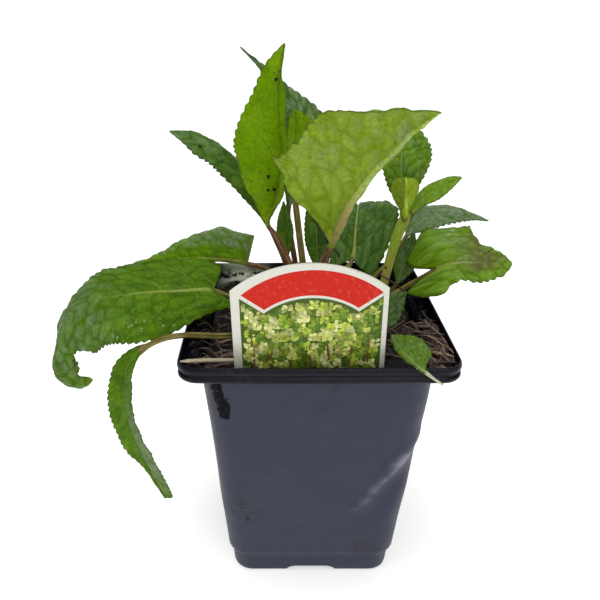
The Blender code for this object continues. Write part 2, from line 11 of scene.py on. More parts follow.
import bmesh
import bpy
import numpy as np
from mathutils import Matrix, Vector

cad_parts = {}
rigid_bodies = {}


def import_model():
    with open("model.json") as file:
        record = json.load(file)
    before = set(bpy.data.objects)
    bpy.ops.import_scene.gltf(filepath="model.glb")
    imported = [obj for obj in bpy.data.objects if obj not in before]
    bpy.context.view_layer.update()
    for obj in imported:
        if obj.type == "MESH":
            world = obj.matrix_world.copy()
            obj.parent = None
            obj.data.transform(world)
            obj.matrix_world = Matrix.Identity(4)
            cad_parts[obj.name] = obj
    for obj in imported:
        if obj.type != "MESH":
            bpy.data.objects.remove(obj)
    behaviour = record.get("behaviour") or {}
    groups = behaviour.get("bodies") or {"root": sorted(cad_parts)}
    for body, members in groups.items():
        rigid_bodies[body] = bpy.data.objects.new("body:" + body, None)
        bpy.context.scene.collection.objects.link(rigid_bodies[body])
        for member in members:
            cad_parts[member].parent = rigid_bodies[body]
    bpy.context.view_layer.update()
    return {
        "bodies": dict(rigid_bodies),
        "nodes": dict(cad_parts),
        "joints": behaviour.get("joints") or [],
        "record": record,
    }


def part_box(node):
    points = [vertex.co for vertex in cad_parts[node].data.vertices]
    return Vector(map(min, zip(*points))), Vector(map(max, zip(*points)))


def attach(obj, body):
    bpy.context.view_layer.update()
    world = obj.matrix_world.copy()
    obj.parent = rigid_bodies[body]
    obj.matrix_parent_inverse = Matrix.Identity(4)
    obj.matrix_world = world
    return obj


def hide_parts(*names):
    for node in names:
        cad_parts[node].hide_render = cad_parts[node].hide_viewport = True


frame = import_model()

MM = 0.001
CAMERA_PLACE = (-14.5, -217.4, 202.1)
CAMERA_DOWN = 24.6
LENS, SENSOR, SHIFT_X = 39.0, 36.0, 0.0442

# Light, and the floor in metres: its reach, and where and how widely it sweeps up behind
WORLD_LIGHT, OVERHEAD_POWER, FRONT_POWER = 0.54, 2.9, 2.4
FLOOR_REACH, SWEEP_START, SWEEP_RADIUS = 6.0, 2.0, 2.5

POT_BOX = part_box("pot")
POT_PLACE = (POT_BOX[0] + POT_BOX[1]) / 2
ORIGIN = np.array([POT_PLACE.x, POT_PLACE.y, POT_BOX[0].z])

# Pot: half of the outer side at each height, and the radius of its corners
POT_HEIGHT = 100.0
WALL = 1.1
LIP_HALF, LIP_RADIUS, LIP_BOTTOM = 45.0, 6.5, 94.4
BODY_TOP_HALF, BODY_TOP_RADIUS = 38.8, 8.5
BODY_BASE_HALF, BODY_BASE_RADIUS = 31.8, 7.5
STEP_HEIGHT, STEP_DEPTH = 10.8, 1.2
FOOT_HALF, FOOT_ROUNDING = 30.0, 1.2
FLOOR_TOP, CHANNEL_HEIGHT, CHANNEL_WIDTH = 4.2, 2.4, 19.0
DRAIN_RADIUS, DRAIN_REACH = 3.6, 19.0
RING_CORNER, RING_SIDE = 9, 20

# Lip: (inset, rise) up its outside, (inset, sharper corner, drop) over its rim, (inset, rise) down its inside
LIP_OUTSIDE = ((3, 0), (0.9, 0), (0.3, 0.2), (0, 0.8), (0.05, 1.7), (0.55, 2.1), (0.6, 2.7), (0.1, 3.2),
               (-0.1, 4))
LIP_RIM = ((0, 0, 0.9), (0.15, 0, 0.35), (0.5, 0.4, 0), (0.8, 0.8, 0.05), (WALL, WALL, 0.4))
LIP_INSIDE = ((0.1, 2.25), (0.2, 0.6), (0.7, 0.1), (3 - WALL, 0))

# The buckle in the lower right of the front wall, the spots of dirt (x, z, size, amount) and a wet streak
CREASE = ((37.0, 67.5), (33.8, 63.5), (29.5, 56.6), (23.6, 48.0), (20.6, 42.5), (16.0, 34.0))
DIRT_SPOTS = ((-25.0, 37.0, 3.0, 1.0), (-23.8, 30.0, 3.5, 1.0), (-30.0, 32.0, 4.0, 0.5),
              (5.0, 88.0, 2.2, 0.8), (2.0, 80.0, 2.5, 0.6), (12.0, 72.0, 1.6, 0.6), (-8.0, 84.0, 1.6, 0.7),
              (20.0, 14.0, 6.0, 0.5), (10.0, 20.0, 2.0, 0.6), (26.0, 22.0, 2.0, 0.6), (-6.0, 24.0, 1.6, 0.6))
WET_STREAK = ((-33.6, 93.0), (-33.2, 88.0), (-31.6, 83.0), (-30.6, 77.5))
WET_WIDTH = 1.9

# Soil
SOIL_TOP, SOIL_BUMP = 92.8, 0.9
GAP = 0.3
SOIL_SIDE, SOIL_RINGS = 56, 100

# Label
LABEL_WIDTH, LABEL_THICK = 47.8, 0.7
LABEL_SHOULDER, LABEL_CROWN, LABEL_FOOT = 31.6, 40.4, -5.0
STAKE_WIDTH, STAKE_LENGTH = 15.0, 45.0
LABEL_X, LABEL_ROLL = -3.0, 1.4
RED_BAND = {"left": -20.6, "right": 22.2, "end": 30.2, "crown": 38.2, "low_left": -13.7, "low_right": 14.9,
            "low": 25.0, "low_crown": 29.7}
WHITE_LINE = 0.9
PICTURE_LEFT, PICTURE_RIGHT, PICTURE_FOOT = -21.2, 22.3, -4.0
INK_BACK, INK_FRONT = -0.30, -0.39
STEM_INK = (0.16, 0.07, 0.03)
GREEN_INKS = ((0.12, 0.22, 0.02), (0.24, 0.36, 0.03), (0.36, 0.46, 0.05), (0.50, 0.56, 0.12),
              (0.62, 0.64, 0.24))

# Side shoot and litter
SHOOT_PATH = ((24, 3, 88), (27, 5, 110), (30, 7, 123), (31.4, 7.6, 127.5), (32.4, 8, 130))
SHOOT_RADII = (1.6, 2.5)
TWIG_PATH = ((18.5, -27, 124.2), (28, -12.5, 113.8), (33, -3, 107), (42.4, 14, 97))
STRAW_PATH = ((-43.4, -42.4, 101.1), (-36, -39, 99.5), (-28, -34.5, 97), (-22, -31.5, 95.2))
STRAND_PATH = ((-5.3, -21, 145.1), (-1.2, -22.4, 139.5), (2.6, -24.6, 133.6), (6.1, -22.6, 129.3),
               (7, -18, 126))
SOIL_CRUMBS, LEDGE_CRUMBS = 620, 1100
WANDERING_ROOTS, SIDE_ROOTS, HEAPED_ROOTS, CROSSING_ROOTS = 170, 26, 105, 48
ROOT_PATH = ((31, -41.2, 97), (36.5, -40.6, 97.1), (40.6, -37, 97.1), (41, -28, 97.2), (41, -17, 97.1),
             (41.1, -6, 96.9))

# Leaves
BLADE_THICK, EDGE_THICK = 0.42, 0.26
PATH_STEPS = 24
TOOTH_PROFILE = (0.0, 0.42, 0.76, 1.0, 0.62)
COLUMN_PITCH, STALK_PITCH = 0.75, 1.6

# Stands for the distance of whatever is out of reach
FAR = 9.0


@dataclass
class Leaf:
    """One leaf, grown as one piece. Pairs are (left, right) seen from above with the tip away.

    rib, blade            points along the stalk and the midrib, and how many belong to the stalk
    widths                half widths at even steps from the base of the blade to its tip
    face                  directions of the upper side, from the base of the blade to its tip
    fold, curl, bend      angles of the halves at the midrib, their further bend, and where it happens
    lobe, stalk           reach of the basal lobes, and radii of the stalk in the soil and at the blade
    sheen                 how much painted sheen, a dull grey green reflection, the halves get, from base to tip
    pale                  paleness of the midrib and of the veins, and how far along it shows
    wave, puff, vein      height of the margin's waves and of the pillows, and distance of the side veins
    tooth, step           (length, depth) of the fine and the coarse teeth
    tone, warm            0 yellow green to 1 blue green, and how red the stalk is
    """

    name: str
    rib: tuple
    blade: int
    widths: tuple
    face: tuple
    fold: tuple = ((15, 15),)
    curl: tuple = ((-20, -20),)
    bend: tuple = (0.0, 1.0)
    lobe: tuple = (0.0, 0.0)
    stalk: tuple = (1.2, 0.9)
    sheen: tuple = ((0.15, 0.15),)
    pale: tuple = (0.3, 0.15, 0.8)
    wave: float = 0.8
    puff: float = 0.5
    vein: float = 6.0
    tooth: tuple = (2.6, 0.7)
    step: tuple = (8.0, 0.0)
    tone: float = 0.5
    warm: float = 0.3


LEAVES = (
    Leaf(
        "leaf_left_back",
        ((-8, 7, 88), (-10, 8, 102), (-16, 9, 110.6), (-26, 13.3, 112), (-34, 17, 112), (-47, 21, 111),
         (-64, 23, 108), (-80, 22, 105)),
        3, ((0.8, 14), (1.2, 15), (3, 16.5), (10, 14.8), (13, 12.5), (11, 7.5), (7.5, 3.5), (4, 1.5),
            (0.4, 0.4)),
        ((0, 0, 1),), ((0, 65), (0, 42), (0, 10)), ((-50, -75), (-50, -60)), bend=(0.5, 0.85), tone=0.3,
        warm=0.7, sheen=((0, 1.3),), pale=(0.9, 0.15, 1.0),
    ),
    Leaf(
        "leaf_left_front",
        ((-9, 1, 88), (-14, -2, 100), (-28, -8, 107), (-37, -10, 111), (-47, -13, 112), (-60, -17, 113),
         (-72, -20, 112), (-80.2, -21, 107.8), (-85.6, -22, 101.6), (-88.7, -23, 93.2), (-90, -24, 86.5),
         (-87, -25, 82.5), (-81, -26, 81.5), (-76.5, -26, 84.3)),
        3, ((6, 12), (10, 14), (15.5, 15), (17, 15.5), (16, 15), (15.2, 13), (14, 11), (6.8, 9), (9.6, 6),
            (9.6, 3.5), (1, 0.4)),
        ((0, -0.3, 1),), ((-20, 14), (-28, -5), (-38, -20)), ((-24, 0),), lobe=(10, 5), tone=0.62, warm=0.2,
        wave=1.0, sheen=((0, 0), (0, 0), (0, 0), (0.1, 0.15), (0.75, 0.7), (0.7, 0.7), (0.7, 0.7),
        (0.6, 0.6), (0.5, 0.5)), pale=(0.85, 0.6, 0.42),
    ),
    Leaf(
        "leaf_hanging",
        ((-9, -5, 88), (-14, -10, 98), (-29, -18, 97.3), (-44, -26, 101.6), (-53, -27, 100), (-60, -27, 95),
         (-64, -27, 89.5), (-65.5, -27, 83), (-66, -27, 75.5), (-65, -27, 65.5), (-62, -27, 53.5),
         (-58, -27, 42), (-54.5, -27, 33.5)),
        5, ((1.2, 2.8), (4, 4.6), (4.8, 5.6), (5, 6.1), (6, 5.8), (6.4, 5), (6, 1.8), (5.6, 1.1), (3, 0.8)),
        ((-0.4, -0.9, 0),), ((35, 10), (38, 10), (22, 10), (5, 10)), ((0, 0),), tone=0.6, tooth=(2.2, 0.6),
        vein=5.0, puff=0.35, sheen=((0, 0), (0.5, 0), (1.3, 0.1), (1.5, 0.2), (0.2, 0)),
        pale=(0.0, 0.0, 0.5),
    ),
    Leaf(
        "leaf_upper_left",
        ((-4, 4, 88), (-9, 4, 112), (-14, 5, 125), (-17, 6, 130.5), (-20.5, 6.5, 136.5), (-24, 7.5, 143),
         (-27, 8.5, 148), (-30, 9.5, 152.5), (-34, 10.5, 155.5), (-39, 12, 157), (-44.5, 13.5, 159),
         (-51, 15, 161)),
        3, ((0.8, 0.8), (1.7, 3.2), (3.5, 3.5), (5.1, 3.8), (6.6, 4.4), (6.3, 4.6), (5.1, 5.2), (2.8, 4.5),
            (0.3, 0.3)),
        ((0.4, -0.5, 0.75),), ((-10, -5),), tone=0.8, warm=0.6, sheen=((0.2, 0.2), (0.15, 0.15), (0.4, 0.4),
        (0.6, 0.6)), pale=(0.1, 0.1, 0.5),
    ),
    Leaf(
        "leaf_tall",
        ((-5, -2, 88), (-7, -2, 112), (-13, -2, 127), (-16.5, -2, 133), (-13.5, -2, 141), (-12, -2, 149.5),
         (-11.5, -1.5, 158), (-12, -1.5, 166.5), (-12.5, -1, 174), (-12.5, -0.5, 182.5), (-11, 0, 190.5)),
        3, ((0.9, 0.9), (9, 2.5), (13, 4.5), (15.2, 6), (16.2, 6), (13.6, 4.5), (9, 3.2), (5.3, 0.6),
            (0.4, 0.3)),
        ((0.2, -0.95, 0.1),), ((0, 75), (0, 84), (0, 90), (0, 66), (0, 80)), ((0, 0),), tone=0.08, warm=0.8,
        tooth=(2.4, 0.6), vein=7.0, sheen=((0, 0),), pale=(0.3, 0.05, 1.0), puff=0.22,
    ),
    Leaf(
        "leaf_front",
        ((0, -5, 88), (1, -14, 112), (2, -22, 127), (4, -26, 134), (5.5, -28, 140), (7.5, -33, 148),
         (10, -38.5, 155), (12.5, -46, 162), (15.5, -53, 168), (18.5, -60.5, 174.5), (22.5, -69, 180)),
        3, ((1.1, 1.4), (4.5, 9.2), (7, 19.3), (8.5, 25.5), (9.5, 23.2), (9, 22.4), (6.5, 20.8),
            (2.2, 11.5), (0.2, 0.2)),
        ((0.15, 0.74, 0.57),), ((44, 0),), ((20, 0),), stalk=(1.7, 1.4), tone=-0.05, warm=0.7,
        tooth=(2.8, 0.5), step=(9.0, 1.2), vein=7.5, puff=0.8, sheen=((0.6, 0.2), (0.7, 0.35), (0.9, 0.65),
        (0.9, 0.65)), pale=(1.0, 0.25, 0.55),
    ),
    Leaf(
        "leaf_back_tall",
        ((-2, 8, 88), (-6, 6, 112), (-9, 7, 130), (-9, 8, 136.5), (-7, 10, 145), (-5.5, 12.5, 153),
         (-5.5, 15, 160.5), (-8, 17, 168.5), (-13, 19.5, 175.5), (-18.5, 22, 181.5), (-26, 25, 188)),
        3, ((0.8, 0.8), (4, 6.5), (6.7, 9.8), (8, 11.3), (8, 9.2), (6.3, 4.6), (3, 2.4), (1.1, 0.8),
            (0.2, 0.2)),
        ((0.3, -0.9, 0.3), (0.5, -0.5, 0.7)), ((10, 20),), tone=0.9, warm=0.8, vein=5.0, wave=0.5,
        sheen=((1.0, 1.0),), pale=(0.1, 0.0, 0.5),
    ),
    Leaf(
        "leaf_young",
        ((0, 2, 88), (-4, 2, 117), (-7, 3, 140), (-8, 5, 151), (-8.5, 6, 156), (-7.5, 8, 162.5),
         (-7.5, 9, 169.5)),
        3, ((0.7, 0.8), (1.5, 5.8), (3, 7.5), (4, 8.4), (4, 8.4), (3, 5.5), (0.4, 0.5)),
        ((0, -1, 0.2),), ((55, 5),), ((0, 0),), stalk=(1.4, 1.0), tone=-0.15, tooth=(2.0, 0.3), vein=4.0,
        wave=0.3, puff=0.3, sheen=((0, 0),), pale=(0.8, 0.1, 1.2),
    ),
    Leaf(
        "leaf_inner_low",
        ((-6, 1, 88), (-8.3, 1.6, 111), (-9.5, 2, 119), (-10.5, 2, 126), (-11, 2.5, 133), (-11, 3, 139)),
        2, ((0.5, 0.5), (2.6, 2.6), (3.5, 3.5), (2.4, 2.4), (0.2, 0.2)),
        ((0.2, -1, 0.2),), ((30, 30),), ((0, 0),), stalk=(0.9, 0.6), tone=0.6, tooth=(1.6, 0.25), vein=3.0,
        wave=0.2, puff=0.2,
    ),
    Leaf(
        "leaf_inner_mid",
        ((4, 5, 88), (2, 6, 112), (1.2, 6, 124), (0.6, 6.6, 133), (0, 7.6, 143)),
        1, ((0.6, 0.6), (3.8, 5.2), (5, 7), (3.8, 5.2), (0.3, 0.3)),
        ((0.1, -1, 0.3),), ((20, 20),), ((0, 0),), stalk=(1.2, 0.8), tone=0.8, tooth=(2.0, 0.35), vein=4.5,
        wave=0.4, puff=0.3,
    ),
    Leaf(
        "leaf_back_right",
        ((5, 10, 88), (9, 14, 100), (13.5, 16.5, 107.5), (16.5, 19.5, 112.5), (18, 28, 121), (20, 40, 126),
         (22, 54, 122), (24, 64, 113)),
        3, ((8, 9), (12, 14), (13, 16.5), (12, 15), (10, 12), (7, 8.5), (0.4, 0.4)),
        ((0, -0.2, 1),), ((15, 10),), lobe=(6, 7), tone=0.85, sheen=((0.35, 0.3), (0.5, 0.4)),
        pale=(1.0, 0.6, 1.2), puff=0.75,
    ),
    Leaf(
        "shoot_leaf_back",
        ((32.4, 9.7, 131), (32.2, 11.2, 136), (31.5, 12.3, 143), (31, 13, 149.5), (31, 14.5, 154.5),
         (31.5, 16.5, 160), (32, 20, 166)),
        1, ((1, 1), (4.6, 5.5), (6.3, 8.6), (7.5, 10.4), (7.5, 9.5), (5.5, 5.2), (0.4, 0.4)),
        ((-0.1, -1, 0.3),), ((15, 15),), ((-10, -10),), stalk=(1.1, 0.9), tone=0.28, warm=0.0,
        tooth=(2.0, 0.6), vein=3.6, sheen=((0.35, 0.45),), pale=(0.7, 0.2, 1.0), puff=0.7,
    ),
    Leaf(
        "shoot_leaf_front",
        ((32.4, 6.4, 131), (32.2, 4.8, 133), (31.6, 2.5, 138), (30.9, 0.5, 143), (30, -2, 148.5)),
        1, ((1.2, 1.8), (2.4, 4.2), (3.8, 6.2), (5, 7), (5.4, 6.6), (4.4, 5), (0.6, 0.6)),
        ((0.2, 1, 0.6),), ((30, 30),), ((20, 20),), stalk=(1.0, 0.8), tone=-0.5, warm=0.0,
        tooth=(1.8, 0.25), vein=3.4, wave=0.3, puff=0.25, sheen=((0, 0),), pale=(0.0, 0.1, 1.0),
    ),
    Leaf(
        "shoot_leaf_right",
        ((34.5, 8.1, 131), (35.5, 7.6, 134), (38.5, 5.7, 139.5), (44, 3.5, 144), (49.5, 1, 148)),
        1, ((1.4, 1.6), (2.4, 2.5), (3.1, 3.4), (3.4, 4), (3, 3.6), (2.2, 2.4), (0.3, 0.3)),
        ((-0.5, -0.2, 0.8),), ((30, -15),), ((-10, -10),), stalk=(1.0, 0.8), tone=-0.1, warm=0.0,
        tooth=(1.8, 0.3), vein=3.4, wave=0.3, puff=0.25, pale=(0.2, 0.1, 0.8), sheen=((0.35, 0.35),),
    ),
    Leaf(
        "leaf_grey",
        ((9, 9, 88), (22, 11, 105), (31, 12, 115), (35.5, 14, 123), (40, 15.5, 127.5), (47, 17.5, 129.5),
         (54, 19.5, 129), (60.5, 21, 127.5), (68, 22, 126)),
        3, ((1, 1), (6.2, 4.9), (8.9, 5.4), (8.9, 5), (8, 3.4), (4.6, 1.2), (0.3, 0.3)),
        ((0, -0.3, 1),), ((0, 10),), ((-30, -30),), tone=0.9, sheen=((1.4, 1.4),), pale=(0.1, 0.1, 0.5),
        puff=0.25,
    ),
    Leaf(
        "leaf_right",
        ((8, -1, 88), (20, 0.2, 99.4), (28, 0.2, 104), (34.6, 0.6, 108.1), (43.5, -7.5, 118.5),
         (48.5, -8.5, 120.5), (54, -9.5, 121), (60.5, -10.5, 121.5), (66.5, -11.5, 121.5)),
        4, ((8, 4.5), (15.5, 10.6), (15, 7.3), (16.4, 6.9), (18, 7.6), (11, 7.3), (9.2, 6.4), (7, 4.8),
            (0.6, 0.5)),
        ((0, -0.3, 1),), ((45, -20), (10, -20)), ((-20, -40),), lobe=(13, 15.5), tone=0.22,
        tooth=(2.4, 0.7), vein=5.5, sheen=((0.1, 0.2), (0.65, 0.3), (0.55, 0.3), (0.2, 0.3)),
        pale=(0.9, 0.8, 0.8), puff=0.7,
    ),
    Leaf(
        "leaf_low_right",
        ((12, -8, 88), (20, -9, 96), (28, -12, 106), (31, -14, 112)),
        1, ((1.2, 1.2), (4.6, 4.6), (6, 6), (4.2, 4.2), (0.3, 0.3)),
        ((-0.3, -0.5, 0.8),), ((10, 10),), stalk=(1.1, 0.8), tone=0.7, tooth=(1.8, 0.4), vein=3.6, wave=0.5,
        sheen=((1.0, 1.0),),
    ),
    Leaf(
        "leaf_low_mid",
        ((13, 6.5, 88), (24, 9.5, 97), (30, 9.2, 102), (32.2, 8, 106.5), (34, 8, 113), (35.6, 8.4, 119.5),
         (37, 9, 125.5)),
        3, ((0.9, 0.9), (3, 3), (4.2, 4.2), (3.8, 3.8), (2.2, 2.2), (0.3, 0.3)),
        ((0, -0.7, 0.7),), ((10, 10),), ((-10, -10),), stalk=(1.0, 0.7), tone=0.85, tooth=(1.6, 0.3),
        vein=3.0, wave=0.3, puff=0.3, sheen=((0.7, 0.7),),
    ),
    Leaf(
        "fallen_leaf",
        ((37.2, -47.4, 95.8), (31.2, -47.7, 100.3), (28, -45, 102.2), (25, -40.5, 104.5), (23, -34.5, 106)),
        1, ((0.5, 1), (1.4, 6.6), (2.3, 8.4), (3, 8.6), (2.8, 8.7), (1.9, 7), (0.5, 1)),
        ((0.4, -0.5, 0.8),), ((20, 5),), ((0, 0),), stalk=(0.4, 0.35), tone=0.28, warm=0.0,
        tooth=(1.8, 0.4), vein=2.8, wave=0.4, puff=0.6, sheen=((0.45, 0.45),), pale=(1.0, 0.6, 1.3),
    ),
)


# Brown patches, and water droplets drawn as painted glints: share of the blade's length at their middle, and
# their reach along it
BLOTCHES = {"leaf_right": (0.62, 0.26)}
DROPLET_GLINTS = {"leaf_left_front": (0.28, 0.22), "leaf_right": (0.3, 0.2)}
PALE_STALKS = ("fallen_leaf",)

# Grains of soil on the leaves: leaf, share of its length, half, share of its width, size
SPECKS = (
    ("leaf_front", 0.32, 1, 0.75, 0.9), ("leaf_front", 0.62, 1, 0.35, 1.1),
    ("leaf_front", 0.2, 0, 0.6, 0.8), ("leaf_tall", 0.28, 0, 0.3, 1.9), ("leaf_tall", 0.21, 0, 0.15, 2.1),
    ("leaf_tall", 0.2, 0, 0.3, 1.5), ("leaf_tall", 0.82, 0, 0.2, 1.3), ("leaf_upper_left", 0.75, 0, 0.3, 1.2),
    ("leaf_upper_left", 0.55, 0, 0.4, 1.0), ("leaf_left_back", 0.45, 0, 0.15, 1.0),
    ("leaf_left_front", 0.3, 0, 0.4, 0.7), ("leaf_right", 0.7, 0, 0.5, 0.8),
)
FINE_SPECKS = 7


def unit(vector):
    vector = np.asarray(vector, float)
    return vector / np.maximum(np.linalg.norm(vector, axis=-1, keepdims=True), 1e-9)


def smooth_step(low, high, value):
    share = np.clip((value - low) / (high - low), 0, 1)
    return share * share * (3 - 2 * share)


def wobble(points, size, seed, waves=7):
    """Smooth seeded noise between about −1 and 1: crossed waves, each about `size` long."""
    draw = np.random.default_rng(seed)
    points = np.asarray(points, float)
    total = np.zeros(points.shape[:-1])
    for _ in range(waves):
        direction = unit(draw.normal(size=points.shape[-1]))
        length = size * draw.uniform(0.6, 1.6)
        total += np.sin(points @ direction * math.tau / length + draw.uniform(0, math.tau))
    return total / math.sqrt(waves) * 0.7


def smooth_path(points):
    """A Catmull-Rom curve through the points, and the length along it at each of its steps."""
    points = np.asarray(points, float)
    padded = np.vstack([2 * points[0] - points[1], points, 2 * points[-1] - points[-2]])
    curve = []
    for i in range(len(points) - 1):
        a, b, c, d = padded[i : i + 4]
        for t in np.arange(PATH_STEPS) / PATH_STEPS:
            square, cube = a - 2.5 * b + 2 * c - d / 2, 1.5 * (b - c) + (d - a) / 2
            curve.append(b + (c - a) * t / 2 + square * t**2 + cube * t**3)
    curve.append(points[-1])
    curve = np.array(curve)
    length = np.concatenate([[0], np.cumsum(np.linalg.norm(np.diff(curve, axis=0), axis=1))])
    return curve, length


def at(curve, length, where):
    return np.stack([np.interp(where, length, curve[:, axis]) for axis in range(3)], axis=-1)


def ahead_at(curve, length, where, reach=0.5):
    before, after = np.maximum(where - reach, 0), np.minimum(where + reach, length[-1])
    return unit(at(curve, length, after) - at(curve, length, before))


def strip_faces(rows, count):
    """Quads between rows of points, each row joined end to end."""
    row = np.arange(rows - 1)[:, None] * count
    i = np.arange(count)[None, :]
    j = (i + 1) % count
    return np.stack([row + i, row + j, row + count + j, row + count + i], -1).reshape(-1, 4)


def end_faces(first, count, flip):
    """Quads that close a ring whose two halves mirror each other."""
    i = np.arange(count // 2 - 1)
    quads = np.stack([i, i + 1, count - 2 - i, count - 1 - i], -1) + first
    return quads[:, ::-1] if flip else quads


def skin(rings):
    """Points and faces of a closed tube through rings of as many points each."""
    rows, count = rings.shape[:2]
    ends = end_faces(0, count, True), end_faces((rows - 1) * count, count, False)
    return rings.reshape(-1, 3), np.vstack([strip_faces(rows, count), *ends])


def join(parts):
    """One set of points and faces out of many."""
    points, faces, start = [], [], 0
    for part_points, part_faces in parts:
        points.append(part_points)
        faces += [tuple(int(i) + start for i in face) for face in part_faces]
        start += len(part_points)
    return np.vstack(points), faces


def signed_volume(points, quads):
    """Six times the volume inside the quads, above 0 where they face out."""
    a, b, c, d = (points[quads[:, corner]] for corner in range(4))
    return np.sum(a * np.cross(b, c)) + np.sum(a * np.cross(c, d))


def make_object(name, points, faces):
    """A mesh object in the scene, from points in millimetres."""
    mesh = bpy.data.meshes.new(name)
    mesh.from_pydata((np.asarray(points, float) * MM + ORIGIN).tolist(), [], faces)
    made = bpy.data.objects.new(name, mesh)
    bpy.context.scene.collection.objects.link(made)
    return made


def store(mesh, fields):
    """Keeps three numbers a point under each name, for the materials to read."""
    for name, values in fields.items():
        layer = mesh.attributes.new(name, "FLOAT_VECTOR", "POINT")
        layer.data.foreach_set("vector", np.asarray(values, np.float32).ravel())


def add_piece(name, points, faces, material, nodes=(), fields=None, smooth=True):
    """A closed mesh in the frame, riding on the plant's one body and standing for the named solids."""
    if isinstance(faces, np.ndarray):
        faces = (faces if signed_volume(points, faces) > 0 else faces[:, ::-1]).tolist()
    piece = make_object(name, points, faces)
    store(piece.data, fields or {})
    piece.data.update()
    if smooth:
        piece.data.shade_smooth()
    piece.data.materials.append(material)
    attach(piece, "root")
    if nodes:
        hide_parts(*nodes)
    return piece


class Surface:
    """A node material with one Principled shader, whose helpers return output sockets."""

    def __init__(self, name, roughness=0.5):
        self.material = bpy.data.materials.new(name)
        self.material.use_nodes = True
        self.tree = self.material.node_tree
        self.shader = self.tree.nodes["Principled BSDF"]
        self.output = self.tree.nodes["Material Output"]
        self.shader.inputs["Roughness"].default_value = roughness
        place = self.tree.nodes.new("ShaderNodeTexCoord").outputs["Object"]
        self.place = self.scaled(place, (1 / MM,) * 3)

    def put(self, socket, value):
        if isinstance(value, bpy.types.NodeSocket):
            self.tree.links.new(value, socket)
        elif isinstance(value, (tuple, list)) and len(value) == 3 and socket.type == "RGBA":
            socket.default_value = (*value, 1)
        else:
            socket.default_value = value

    def node(self, kind, inputs, output=0, **settings):
        made = self.tree.nodes.new("ShaderNode" + kind)
        for key, value in settings.items():
            setattr(made, key, value)
        for key, value in inputs.items():
            self.put(made.inputs[key], value)
        return made.outputs[output]

    def scaled(self, vector, factors):
        return self.node("VectorMath", {0: vector, 1: factors}, operation="MULTIPLY")

    def field(self, name):
        """The three numbers of a mesh attribute."""
        split = self.tree.nodes.new("ShaderNodeSeparateXYZ")
        self.put(split.inputs[0], self.node("Attribute", {}, "Vector", attribute_name=name))
        return tuple(split.outputs)

    def calc(self, operation, a, b=0.0, clamp=False):
        return self.node("Math", {0: a, 1: b}, operation=operation, use_clamp=clamp)

    def times(self, a, b, clamp=False):
        return self.calc("MULTIPLY", a, b, clamp)

    def plus(self, a, b, clamp=False):
        return self.calc("ADD", a, b, clamp)

    def minus(self, a, b, clamp=False):
        return self.calc("SUBTRACT", a, b, clamp)

    def step(self, value, low, high):
        """0 below low and 1 above high, smoothly. Low may be the greater of the two."""
        falls = low > high
        limits = {1: high, 2: low, 3: 1.0, 4: 0.0} if falls else {1: low, 2: high, 3: 0.0, 4: 1.0}
        return self.node("MapRange", {0: value, **limits}, interpolation_type="SMOOTHSTEP")

    def noise(self, size, detail=2.0, where=None, roughness=0.5):
        inputs = {"Vector": where or self.place, "Scale": 1 / size, "Detail": detail, "Roughness": roughness}
        return self.node("TexNoise", inputs, "Fac")

    def cells(self, size, feature="F1", where=None):
        """Distance within cells of the given size, in the plane where a place is given."""
        inputs = {"Vector": where or self.place, "Scale": 1 / size}
        dimensions = "2D" if where else "3D"
        return self.node("TexVoronoi", inputs, "Distance", feature=feature, voronoi_dimensions=dimensions)

    def mix(self, share, a, b):
        return self.node("Mix", {0: share, 6: a, 7: b}, 2, data_type="RGBA")

    def paint(self, layer, share, strength=None):
        """Lays a colour over the ones before it, by its share and strength."""
        share = share if strength is None else self.times(share, strength)
        self.tint = self.mix(share, self.tint, layer)

    def colour(self, value):
        self.put(self.shader.inputs["Base Color"], value)

    def rough(self, value):
        self.put(self.shader.inputs["Roughness"], value)

    def gloss(self, value):
        self.put(self.shader.inputs["Specular IOR Level"], value)

    def bump(self, height, depth):
        """Relief of the given depth in millimetres, on top of any that is there."""
        inputs = {"Height": height, "Distance": depth * MM, "Strength": 1.0}
        before = self.shader.inputs["Normal"].links
        if before:
            inputs["Normal"] = before[0].from_socket
        self.put(self.shader.inputs["Normal"], self.node("Bump", inputs))


